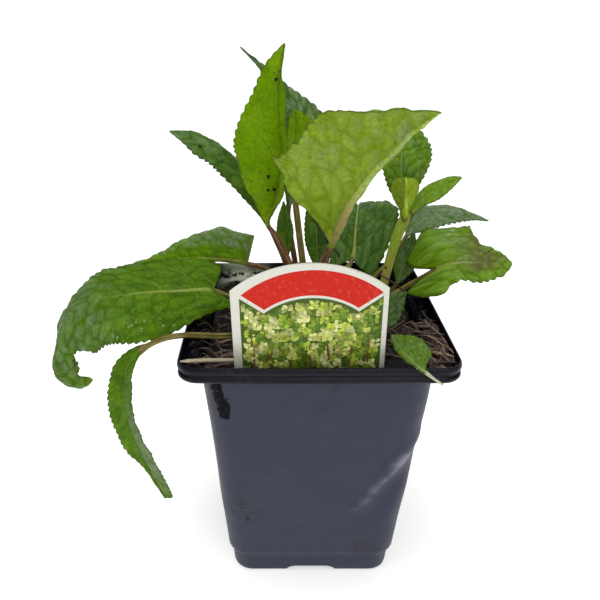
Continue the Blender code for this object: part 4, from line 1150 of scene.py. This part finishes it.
def mark_pot(mesh):
    """Stores where the pot is dirty and wet, where its lip and its inside are, and where a highlight and a
    reflection are painted on it.
    """
    points = np.empty(3 * len(mesh.vertices), np.float32)
    mesh.vertices.foreach_get("co", points)
    points = (points.reshape(-1, 3) - ORIGIN) / MM
    height = points[:, 2]
    marks = np.zeros((len(points), 3))
    flat = np.stack([points[:, 0], height], 1)
    seen = points[:, 1] < -20
    for x, z, size, amount in DIRT_SPOTS:
        gap = np.linalg.norm(flat - (x, z), axis=1) / size
        marks[:, 0] = np.maximum(marks[:, 0], amount * np.exp(-(gap**2)) * seen)
    gap, _ = line_distance(flat, WET_STREAK)
    marks[:, 1] = np.clip(1.5 - gap / (2 * WET_WIDTH), 0, 1) * seen * (height < LIP_BOTTOM)
    normals = np.empty(3 * len(points), np.float32)
    mesh.vertices.foreach_get("normal", normals)
    normals = normals.reshape(-1, 3)
    inward = np.einsum("ij,ij->i", normals, unit(points * (1, 1, 0))) < -0.2
    reach = np.max(np.abs(points[:, :2]), axis=1)
    ledge = (np.abs(height - LIP_BOTTOM - WALL) < 0.8) & (normals[:, 2] > 0.3) & (reach < LIP_HALF - WALL)
    inside = (inward & (height > FLOOR_TOP + 0.5)) | ledge
    marks[:, 2] = np.where(inside, 2.0, smooth_step(LIP_BOTTOM - 1, LIP_BOTTOM, height))
    # Painted highlight along the buckle, wider and stronger towards the corner, only on the front
    gap, _ = line_distance(flat, CREASE)
    crease_highlight = np.exp(-((gap / (0.6 + 0.07 * np.maximum(points[:, 0] - 16, 0))) ** 2)) * seen
    crease_highlight = crease_highlight * (0.4 + 0.6 * smooth_step(21, 29, points[:, 0])) * smooth_step(-25, -36, points[:, 1])
    # Painted reflection on the inner wall and ledge at the back left
    rim_reflection = np.exp(-(((points[:, 0] + 27) / 9) ** 4)) * (points[:, 1] > 30) * inside
    store(mesh, {"marks": marks, "wear": np.stack([crease_highlight, rim_reflection, np.zeros_like(rim_reflection)], 1)})


def skin_round(rings):
    """A closed tube through rings, with its ends closed by fans."""
    rows, count = rings.shape[:2]
    points = rings.reshape(-1, 3)
    centres = np.array([rings[0].mean(0), rings[-1].mean(0)])
    faces = [tuple(face) for face in strip_faces(rows, count).tolist()]
    start = rows * count
    for i in range(count):
        j = (i + 1) % count
        faces.append((start, j, i))
        last = (rows - 1) * count
        faces.append((start + 1, last + i, last + j))
    return np.vstack([points, centres]), faces


def cut_feet(pot):
    """Two channels cross under the floor and leave a foot at each corner, and holes drain into them."""
    half = CHANNEL_WIDTH / 2
    quarter = np.radians(np.linspace(0, 90, 7))
    curve = [(half - 4 + 4 * math.cos(a), CHANNEL_HEIGHT * math.sin(a)) for a in quarter]
    outline = [(-half, -2.0), (half, -2.0), *curve, *((-x, z) for x, z in reversed(curve))]
    along_x = [[(end, across, up) for across, up in outline] for end in (-40, 40)]
    along_y = [[(across, end, up) for across, up in outline] for end in (-40, 40)]
    cutters = [np.array(along_x), np.array(along_y)]
    angles = np.radians(np.arange(24) * 15)
    for x, y in ((0, 0), (1, 0), (0, 1), (-1, 0), (0, -1)):
        hole = DRAIN_REACH * np.array([x, y]) + DRAIN_RADIUS * np.stack([np.cos(angles), np.sin(angles)], 1)
        cutters.append(np.array([np.column_stack([hole, np.full(24, z)]) for z in (-1.0, FLOOR_TOP + 1)]))
    for ends in cutters:
        cutter = make_object("cutter", *skin_round(ends))
        fix_winding(cutter)
        modifier = pot.modifiers.new("channel", "BOOLEAN")
        modifier.operation, modifier.solver, modifier.object = "DIFFERENCE", "EXACT", cutter
        with bpy.context.temp_override(object=pot, active_object=pot):
            bpy.ops.object.modifier_apply(modifier=modifier.name)
        bpy.data.objects.remove(cutter)


def fix_winding(obj):
    """Turns every face of a closed mesh outwards."""
    mesh = bmesh.new()
    mesh.from_mesh(obj.data)
    bmesh.ops.recalc_face_normals(mesh, faces=mesh.faces)
    mesh.to_mesh(obj.data)
    mesh.free()


def bump(x, y):
    """Height of the soil's lumps, as in the solid."""
    return SOIL_BUMP * (
        0.5 * np.sin(0.31 * x + 1.1) * np.cos(0.27 * y - 0.4)
        + 0.3 * np.sin(0.55 * x - 0.21 * y)
        + 0.2 * np.cos(0.19 * x + 0.63 * y + 0.8)
    )


def soil_height(x, y):
    """Height of the soil with its crumbs."""
    flat = np.stack([x, y], -1)
    rough = 0.55 * wobble(flat, 6.5, 31) + 0.4 * wobble(flat, 2.8, 32) + 0.22 * wobble(flat, 1.3, 33)
    return SOIL_TOP + bump(x, y) + rough


def make_soil(material):
    """One block of soil with a crumbly top, up to the ledge."""
    half, radius = np.array(inner_half(SOIL_TOP - 1)) - GAP
    base, base_radius = np.array(inner_half(FLOOR_TOP)) - GAP
    rings = [rounded_square(base, base_radius, FLOOR_TOP + GAP, SOIL_SIDE)]
    rings.append(rounded_square(half, radius, SOIL_TOP - 2, SOIL_SIDE))
    for share in np.linspace(1, 0.01, SOIL_RINGS) ** 0.9:
        ring = rounded_square(share * (half - 0.05), share * radius, 0, SOIL_SIDE)
        ring[:, 2] = soil_height(ring[:, 0], ring[:, 1])
        rings.append(ring)
    points, faces = skin_round(np.array(rings))
    points[-1, 2] = soil_height(points[-1:, 0], points[-1:, 1])[0]
    add_piece("compost_block", points, faces, material, ("soil",))


def lump():
    """An icosahedron of radius one, which scatter_lumps turns into grains."""
    golden = (1 + 5**0.5) / 2
    corners = []
    for a in (-1, 1):
        for b in (-golden, golden):
            corners += [(0, a, b), (a, b, 0), (b, 0, a)]
    points = unit(np.array(corners, float))
    faces = []
    for i in range(12):
        for j in range(i + 1, 12):
            for k in range(j + 1, 12):
                sides = [np.linalg.norm(points[a] - points[b]) for a, b in ((i, j), (j, k), (i, k))]
                if max(sides) < 1.2:
                    normal = np.cross(points[j] - points[i], points[k] - points[i])
                    faces.append((i, j, k) if normal @ points[i] > 0 else (i, k, j))
    return points, faces


def scatter_lumps(spots, sizes, seed):
    """Grains at the given places, each squashed, turned and dented in its own way."""
    draw = np.random.default_rng(seed)
    points, faces = lump()
    parts = []
    for spot, size in zip(spots, sizes):
        turn = np.linalg.qr(draw.normal(size=(3, 3)))[0]
        if np.linalg.det(turn) < 0:
            turn[:, 0] *= -1
        stretch = draw.uniform(0.45, 1.0, 3)
        shape = points * draw.uniform(0.75, 1.15, (12, 1)) * stretch
        parts.append((spot + shape @ turn * size / 2, faces))
    return join(parts)


def strand(points, radius, sides=5, flat=1.0):
    """A thin closed tube along a path, tapering at both ends."""
    curve, length = smooth_path(points)
    where = np.linspace(0, length[-1], max(5, int(length[-1] / max(0.9, 2.5 * radius))))
    place, ahead = at(curve, length, where), ahead_at(curve, length, where)
    high = np.array([0.1, 0.05, 1.0])
    up = unit(high - (ahead @ high)[:, None] * ahead)
    side = np.cross(up, ahead)
    share = where / where[-1]
    width = radius * (0.35 + 0.65 * np.minimum(1, 8 * np.minimum(share, 1 - share)) ** 0.5)
    angles = math.tau * (0.5 + np.arange(sides)) / sides
    rings = place[:, None] + width[:, None, None] * (
        np.cos(angles)[None, :, None] * side[:, None] + flat * np.sin(angles)[None, :, None] * up[:, None]
    )
    return skin_round(rings)


def wander(draw, start, heading, length, steps=7, turn=0.5):
    """A path that wanders over the ground from start."""
    points = [np.array(start, float)]
    for _ in range(steps - 1):
        heading += draw.normal(0, turn)
        points.append(points[-1] + length / (steps - 1) * np.array([math.cos(heading), math.sin(heading)]))
    return np.array(points)


def strands_piece(name, parts, shades, material, nodes=()):
    """Strands in one piece, each with a shade and a redness of its own."""
    points, faces = join(parts)
    fields = np.zeros((len(points), 3))
    reds = np.random.default_rng(len(parts)).random(len(parts))
    fields[:, :2] = np.repeat(np.stack([shades, reds], 1), [len(part[0]) for part in parts], axis=0)
    add_piece(name, points, faces, material, nodes, {"strand": fields})


def make_crumbs(draw, half, material):
    """Grains strewn over the soil, and finer ones on the ledge round it."""
    spots, sizes = [], []
    for _ in range(SOIL_CRUMBS):
        x, y = draw.uniform(-half, half, 2)
        size = 0.7 + 2.4 * draw.random() ** 3
        spots.append((x, y, float(soil_height(np.array([x]), np.array([y]))[0]) + 0.15 * size))
        sizes.append(size)
    for _ in range(LEDGE_CRUMBS):
        edge, along = draw.uniform(half + 2.2, LIP_HALF - 1.8), draw.uniform(-LIP_HALF + 4, LIP_HALF - 4)
        places = (edge, along), (-edge, along), (-edge, along), (along, edge), (along, -edge)
        x, y = places[draw.integers(5)]
        size = 0.5 + 1.9 * draw.random() ** 2
        spots.append((x, y, LIP_BOTTOM + WALL + 0.25 * size))
        sizes.append(size)
    points, faces = scatter_lumps(spots, sizes, 6)
    add_piece("compost_crumbs", points, faces, material, smooth=False)


def straight_root(draw, start, end, half, bend, lift, radii):
    """A nearly straight root over the soil and the ledge beside it."""
    path = start + (end - start) * np.linspace(0, 1, 5)[:, None] + draw.normal(0, bend, (5, 2))
    beside = np.abs(path[:, 0]) > half
    ground = np.where(beside, LIP_BOTTOM + WALL, soil_height(path[:, 0], path[:, 1]))
    return strand(np.column_stack([path, ground + draw.uniform(0.5, lift)]), draw.uniform(*radii))


def soil_roots(draw, half):
    """Fine roots on the soil: wandering ones everywhere, and straighter ones at its right and left side."""
    parts, shades = [], []
    for _ in range(WANDERING_ROOTS):
        start, length = draw.uniform(-half, half, 2), draw.uniform(6, 30)
        path = np.clip(wander(draw, start, draw.uniform(0, math.tau), length), -half, half)
        radius = draw.uniform(0.10, 0.32)
        lift = radius + 0.2 + np.abs(draw.normal(0, 0.5, len(path)))
        path = np.column_stack([path, soil_height(path[:, 0], path[:, 1]) + lift])
        parts.append(strand(path, radius))
        shades.append(draw.random() ** 1.5)
    for _ in range(SIDE_ROOTS):
        start = np.array([draw.uniform(25, 34), draw.uniform(-16, 0)])
        end = np.array([draw.uniform(36, 42), start[1] - draw.uniform(10, 26)])
        parts.append(straight_root(draw, start, end, half, 0.5, 1.8, (0.12, 0.34)))
        shades.append(draw.random() ** 1.2)
    for _ in range(SIDE_ROOTS):
        start = np.array([draw.uniform(-42, -33), draw.uniform(-38, -8)])
        end = start + (draw.uniform(9, 17), draw.uniform(0, 8))
        parts.append(straight_root(draw, start, end, half, 0.3, 1.5, (0.15, 0.4)))
        shades.append(draw.random() ** 1.5)
    return parts, shades


def heaped_roots(draw):
    """Old roots heaped on the ledge of the right front corner: along the heap, and across it."""
    curve, length = smooth_path(ROOT_PATH)
    ledge = LIP_BOTTOM + WALL
    parts, shades = [], []
    for _ in range(HEAPED_ROOTS):
        start, reach = draw.uniform(-5, length[-1] - 8), draw.uniform(10, 36)
        where = np.linspace(max(start, 0), min(start + reach, length[-1]), 5)
        ahead = ahead_at(curve, length, where)
        aside = np.cross(ahead, (0, 0, 1)) * np.linspace(*draw.uniform(-2.1, 2.1, 2), 5)[:, None]
        path = at(curve, length, where) + aside + draw.normal(0, 0.2, (5, 3))
        path[:, 2] = np.maximum(path[:, 2] + draw.uniform(-1, 0.9), ledge + 0.3)
        parts.append(strand(path, 0.14 + 0.36 * draw.random() ** 2))
        shades.append(draw.random() ** 2.6)
    for _ in range(CROSSING_ROOTS):
        angle = math.radians(draw.normal(-66, 34))
        ahead = np.array([math.cos(angle), math.sin(angle), draw.uniform(-0.12, 0.12)])
        middle = at(curve, length, np.array([draw.uniform(2, length[-1] - 2)]))[0]
        middle = middle + (draw.uniform(-1.8, 1.2), 0, draw.uniform(0.4, 2.2))
        path = middle + ahead * draw.uniform(3, 9) * np.linspace(-1, 1, 5)[:, None]
        path = path + draw.normal(0, 0.14, (5, 3))
        path[:, :2] = np.clip(path[:, :2], 1.8 - LIP_HALF, LIP_HALF - 1.8)
        path[:, 2] = np.maximum(path[:, 2], ledge + 0.5)
        parts.append(strand(path, 0.18 + 0.34 * draw.random() ** 2))
        shades.append(draw.random() ** 1.2)
    return parts, shades


def make_litter(compost, root, straw, twig):
    """Crumbs, roots and dead stems. The order of the draws decides where each one lies."""
    draw = np.random.default_rng(5)
    half = inner_half(SOIL_TOP)[0] - 1.5
    make_crumbs(draw, half, compost)
    strands_piece("soil_fibres", *soil_roots(draw, half), root)
    strands_piece("root_fibres", *heaped_roots(draw), root, ("root_mat",))
    strands_piece("dry_stalk", [strand(STRAW_PATH, 0.95, 8, 0.6)], [0.8], straw, ("straw",))
    strands_piece("dead_twig", [strand(TWIG_PATH, 0.28, 8)], [0.1], twig, ("twig",))
    strands_piece("dark_strand", [strand(STRAND_PATH, 0.34, 8)], [0.15], twig)


def make_shoot(material):
    """A square stem with a wing along each corner, closed by a low dome."""
    curve, length = smooth_path(SHOOT_PATH)
    where = np.linspace(0, length[-1], 60)
    place, ahead = at(curve, length, where), ahead_at(curve, length, where)
    swell = np.linspace(0, 1, 13)[1:]
    place = np.vstack([place, place[-1] + swell[:, None] * 4.0 * ahead[-1]])
    ahead = np.vstack([ahead, np.repeat(ahead[-1:], len(swell), 0)])
    high = np.array([0.0, 1.0, 0.0])
    up = unit(high - (ahead @ high)[:, None] * ahead)
    side = np.cross(up, ahead)
    angles = math.tau * (0.5 + np.arange(48)) / 48
    corner = np.abs(angles % (math.pi / 2) - math.pi / 4) / (math.pi / 4)
    shape = (0.72 + 0.06 * corner) + 0.26 * (1 - corner) ** 6
    radius = np.interp(where, (0, where[-1]), SHOOT_RADII)
    radius = np.concatenate([radius, radius[-1] * np.sqrt(1.02 - swell**2.5)])
    spread = radius[:, None] * shape
    rings = place[:, None] + spread[..., None] * (
        np.cos(angles)[None, :, None] * side[:, None] + np.sin(angles)[None, :, None] * up[:, None]
    )
    points, faces = skin_round(rings)
    add_piece("shoot_stem", points, faces, material, ("shoot",))


def arch(half, shoulder, crown, steps=40):
    """Points of an arc from the right shoulder over the crown to the left one."""
    rise = crown - shoulder
    radius = (half * half + rise * rise) / (2 * rise)
    reach = math.asin(half / radius)
    angles = reach * (1 - 2 * np.arange(steps + 1) / steps)
    return [(radius * math.sin(a), crown - radius + radius * math.cos(a)) for a in angles]


def label_outline(inset):
    """The label's outline, counter-clockwise from the foot of its stake."""
    half, stake, foot = LABEL_WIDTH / 2 - inset, STAKE_WIDTH / 2 - inset, LABEL_FOOT + inset
    points = [(-0.4 * stake, foot - STAKE_LENGTH), (0.4 * stake, foot - STAKE_LENGTH), (stake, foot - 2),
              (half - 2, foot), (half - 0.6, foot + 0.6), (half, LABEL_FOOT + 2)]
    points += arch(half, LABEL_SHOULDER - inset * 0.6, LABEL_CROWN - inset)
    points += [(-half, LABEL_FOOT + 2), (0.6 - half, foot + 0.6), (2 - half, foot), (-stake, foot - 2)]
    return points


def on_label(points):
    """Points given on the label, x right, y back and z up, set in the pot at the wall's slope."""
    wall = inner_half(SOIL_TOP)[0]
    slope = math.atan((wall - inner_half(FLOOR_TOP)[0]) / (SOIL_TOP - FLOOR_TOP))
    roll = math.radians(-LABEL_ROLL)
    points = np.asarray(points, float)
    c, s = math.cos(slope), math.sin(slope)
    y, z = c * points[:, 1] - s * points[:, 2], s * points[:, 1] + c * points[:, 2]
    c, s = math.cos(roll), math.sin(roll)
    x, z = c * points[:, 0] + s * z, -s * points[:, 0] + c * z
    return np.stack([x + LABEL_X, y - (wall - GAP - LABEL_THICK / 2), z + SOIL_TOP], 1)


def plate(rings):
    """A closed plate through outlines of as many points each, from its back to its front."""
    count = len(rings[0][1])
    points = np.array([(x, depth, z) for depth, outline in rings for x, z in outline])
    faces = [tuple(face) for face in strip_faces(len(rings), count).tolist()]
    faces.append(tuple(range(count - 1, -1, -1)))
    faces.append(tuple(range((len(rings) - 1) * count, len(rings) * count)))
    return points, faces


def bowed(left, right, end, crown, steps=24):
    """An arc between two points at the same height, from right to left."""
    middle, half = (left + right) / 2, (right - left) / 2
    return [(middle + x, z) for x, z in arch(half, end, crown, steps)]


def make_label(plastic, ink):
    """The label with its stake, and the band and the picture printed on it."""
    half = LABEL_THICK / 2
    outer, inner = label_outline(0), label_outline(0.18)
    points, faces = plate([(half, inner), (half - 0.15, outer), (0.15 - half, outer), (-half, inner)])
    points = on_label(points)
    label = add_piece("label_plate", points, faces, plastic, ("label",), smooth=False)
    fix_winding(label)

    parts, colours = [], []

    def print_shape(outline, colour, lift=0.0):
        parts.append(plate([(INK_BACK, outline), (INK_FRONT - lift, outline)]))
        colours.append(colour)

    band = bowed(RED_BAND["left"], RED_BAND["right"], RED_BAND["end"], RED_BAND["crown"])
    band += bowed(RED_BAND["low_left"], RED_BAND["low_right"], RED_BAND["low"], RED_BAND["low_crown"])[::-1]
    print_shape(band, (0.56, 0.018, 0.008))

    left, right, end = PICTURE_LEFT, PICTURE_RIGHT, RED_BAND["end"] - 1.1
    top = bowed(RED_BAND["low_left"] - 0.2, RED_BAND["low_right"] + 0.2, RED_BAND["low"] - WHITE_LINE - 0.4,
                RED_BAND["low_crown"] - WHITE_LINE)
    picture = [(left, PICTURE_FOOT), (right, PICTURE_FOOT), (right, end), *top, (left, end)]
    print_shape(picture, (0.055, 0.105, 0.012))
    print_foliage(print_shape)

    points, faces = join(parts)
    points = on_label(points)
    fields = {"ink": np.repeat(colours, [len(part[0]) for part in parts], axis=0)}
    printed = add_piece("label_print", points, faces, ink, (), fields, smooth=False)
    fix_winding(printed)


def lens(x, z, length, width, angle, steps=7):
    """A pointed oval from (x, z) along the angle."""
    share = np.linspace(0, 1, steps)
    swell = width / 2 * np.sin(math.pi * share)
    along = np.concatenate([share * length, share[-2:0:-1] * length])
    across = np.concatenate([swell, -swell[-2:0:-1]])
    c, s = math.cos(angle), math.sin(angle)
    return [(x + c * a - s * b, z + s * a + c * b) for a, b in zip(along, across)]


def picture_top(x):
    """Height of the picture's upper edge, a little inside it."""
    middle = (RED_BAND["low_left"] + RED_BAND["low_right"]) / 2
    half = (RED_BAND["low_right"] - RED_BAND["low_left"]) / 2
    crown = RED_BAND["low_crown"] - WHITE_LINE - 0.4
    aside = abs(x - middle) - half
    return crown - 5.0 + 0.75 * aside if aside > 0 else crown - 5.0 * ((x - middle) / half) ** 2


def print_foliage(print_shape):
    """Rows of plain sprigs with paired leaves, in greens from the shade to the light."""
    draw = np.random.default_rng(21)
    left, right = PICTURE_LEFT, PICTURE_RIGHT
    lift = 0.0
    for x in np.linspace(left + 4, right - 4, 7):
        foot, height = draw.uniform(-3, 4), draw.uniform(9, 17)
        stem = lens(x, foot, height, 0.9, math.pi / 2 + draw.uniform(-0.15, 0.15))
        print_shape(stem, STEM_INK, 0.03)
    for row, height in enumerate(np.linspace(24.5, -3.4, 13)):
        for x in np.arange(left + 1.6 + 1.3 * (row % 2), right - 1.2, 2.7):
            x = x + draw.uniform(-0.6, 0.6)
            base = height + draw.uniform(-0.7, 0.7)
            green = np.array(GREEN_INKS[draw.integers(len(GREEN_INKS))]) * draw.uniform(0.6, 1.15)
            for step in range(3):
                for hand in (-1, 1):
                    angle = math.pi / 2 + hand * draw.uniform(0.5, 1.25)
                    length = draw.uniform(1.6, 2.5) * (1 - 0.12 * step)
                    shape = lens(x, base + 0.9 * step, length, 1.25, angle)
                    lift = lift % 0.04 + 0.002
                    if all(left < px < right and z < picture_top(px) for px, z in shape):
                        print_shape(shape, green * draw.uniform(0.55, 1.3), lift)


def make_specks(blades, material):
    """Grains of soil lying on the leaves: the listed ones, and a few fine ones on each leaf."""
    spots, sizes = [], []
    for name, t, hand, u, size in SPECKS:
        point, normal = blades[name].spot(t, hand, u)
        spots.append(point + normal * (BLADE_THICK / 2 + 0.15 * size))
        sizes.append(size)
    draw = np.random.default_rng(77)
    for name in sorted(blades):
        for _ in range(FINE_SPECKS):
            t, hand, u = draw.uniform(0.05, 0.9), draw.integers(2), draw.uniform(0.1, 0.9)
            point, normal = blades[name].spot(t, hand, u)
            size = draw.uniform(0.2, 0.5)
            spots.append(point + normal * (BLADE_THICK / 2 + 0.1 * size))
            sizes.append(size)
    points, faces = scatter_lumps(spots, sizes, 78)
    add_piece("soil_specks", points, faces, material, smooth=False)


def area_light(name, place, target, size, power):
    light = bpy.data.lights.new(name, "AREA")
    light.shape, light.size, light.energy = "DISK", size, power
    lamp = bpy.data.objects.new(name, light)
    lamp.location = place
    lamp.rotation_euler = (Vector(target) - Vector(place)).to_track_quat("-Z", "Y").to_euler()
    bpy.context.scene.collection.objects.link(lamp)


def make_studio():
    """Camera, light and floor."""
    scene = bpy.context.scene
    camera_data = bpy.data.cameras.new("camera")
    camera_data.lens, camera_data.shift_x, camera_data.sensor_width = LENS, SHIFT_X, SENSOR
    camera_data.clip_start = 0.01
    camera = bpy.data.objects.new("camera", camera_data)
    camera.location = np.array(CAMERA_PLACE) * MM + ORIGIN
    camera.rotation_euler = (math.radians(90 - CAMERA_DOWN), 0, 0)
    scene.collection.objects.link(camera)
    scene.camera = camera

    world = bpy.data.worlds.new("studio")
    world.use_nodes = True
    background = world.node_tree.nodes["Background"]
    background.inputs["Color"].default_value = (1, 1, 1, 1)
    background.inputs["Strength"].default_value = WORLD_LIGHT
    scene.world = world
    scene.view_settings.view_transform = "Standard"
    area_light("overhead", (-0.10, -0.05, 0.85), (0, 0, 0.1), 0.6, OVERHEAD_POWER)
    area_light("front fill", (0.25, -0.9, 0.55), (0, 0, 0.08), 0.7, FRONT_POWER)

    # The floor sweeps up far behind the pot, so that no horizon shows
    rise = [(-FLOOR_REACH, 0.0), (SWEEP_START, 0.0)]
    rise += [(SWEEP_START + SWEEP_RADIUS * math.sin(a), SWEEP_RADIUS * (1 - math.cos(a)))
             for a in np.radians(np.linspace(6, 90, 15))]
    corners = [(x, y, z) for y, z in rise for x in (-FLOOR_REACH, FLOOR_REACH)]
    faces = [(2 * i, 2 * i + 1, 2 * i + 3, 2 * i + 2) for i in range(len(rise) - 1)]
    floor = make_object("floor", (np.array(corners) - ORIGIN) / MM, faces)
    floor.data.shade_smooth()
    floor.data.materials.append(floor_surface())


make_studio()
make_pot(pot_surface())
compost_surface = soil_surface()
make_soil(compost_surface)
green = leaf_surface()
grown = {leaf.name: make_leaf(leaf, green) for leaf in LEAVES}
make_shoot(shoot_surface())
make_label(label_surface(), ink_surface())
make_litter(
    compost_surface,
    fibre_surface("dead root", (0.016, 0.008, 0.009), (0.44, 0.30, 0.18)),
    fibre_surface("dry straw", (0.16, 0.11, 0.07), (0.55, 0.47, 0.34)),
    fibre_surface("dead twig", (0.012, 0.008, 0.010), (0.16, 0.11, 0.10)),
)
make_specks(grown, compost_surface)
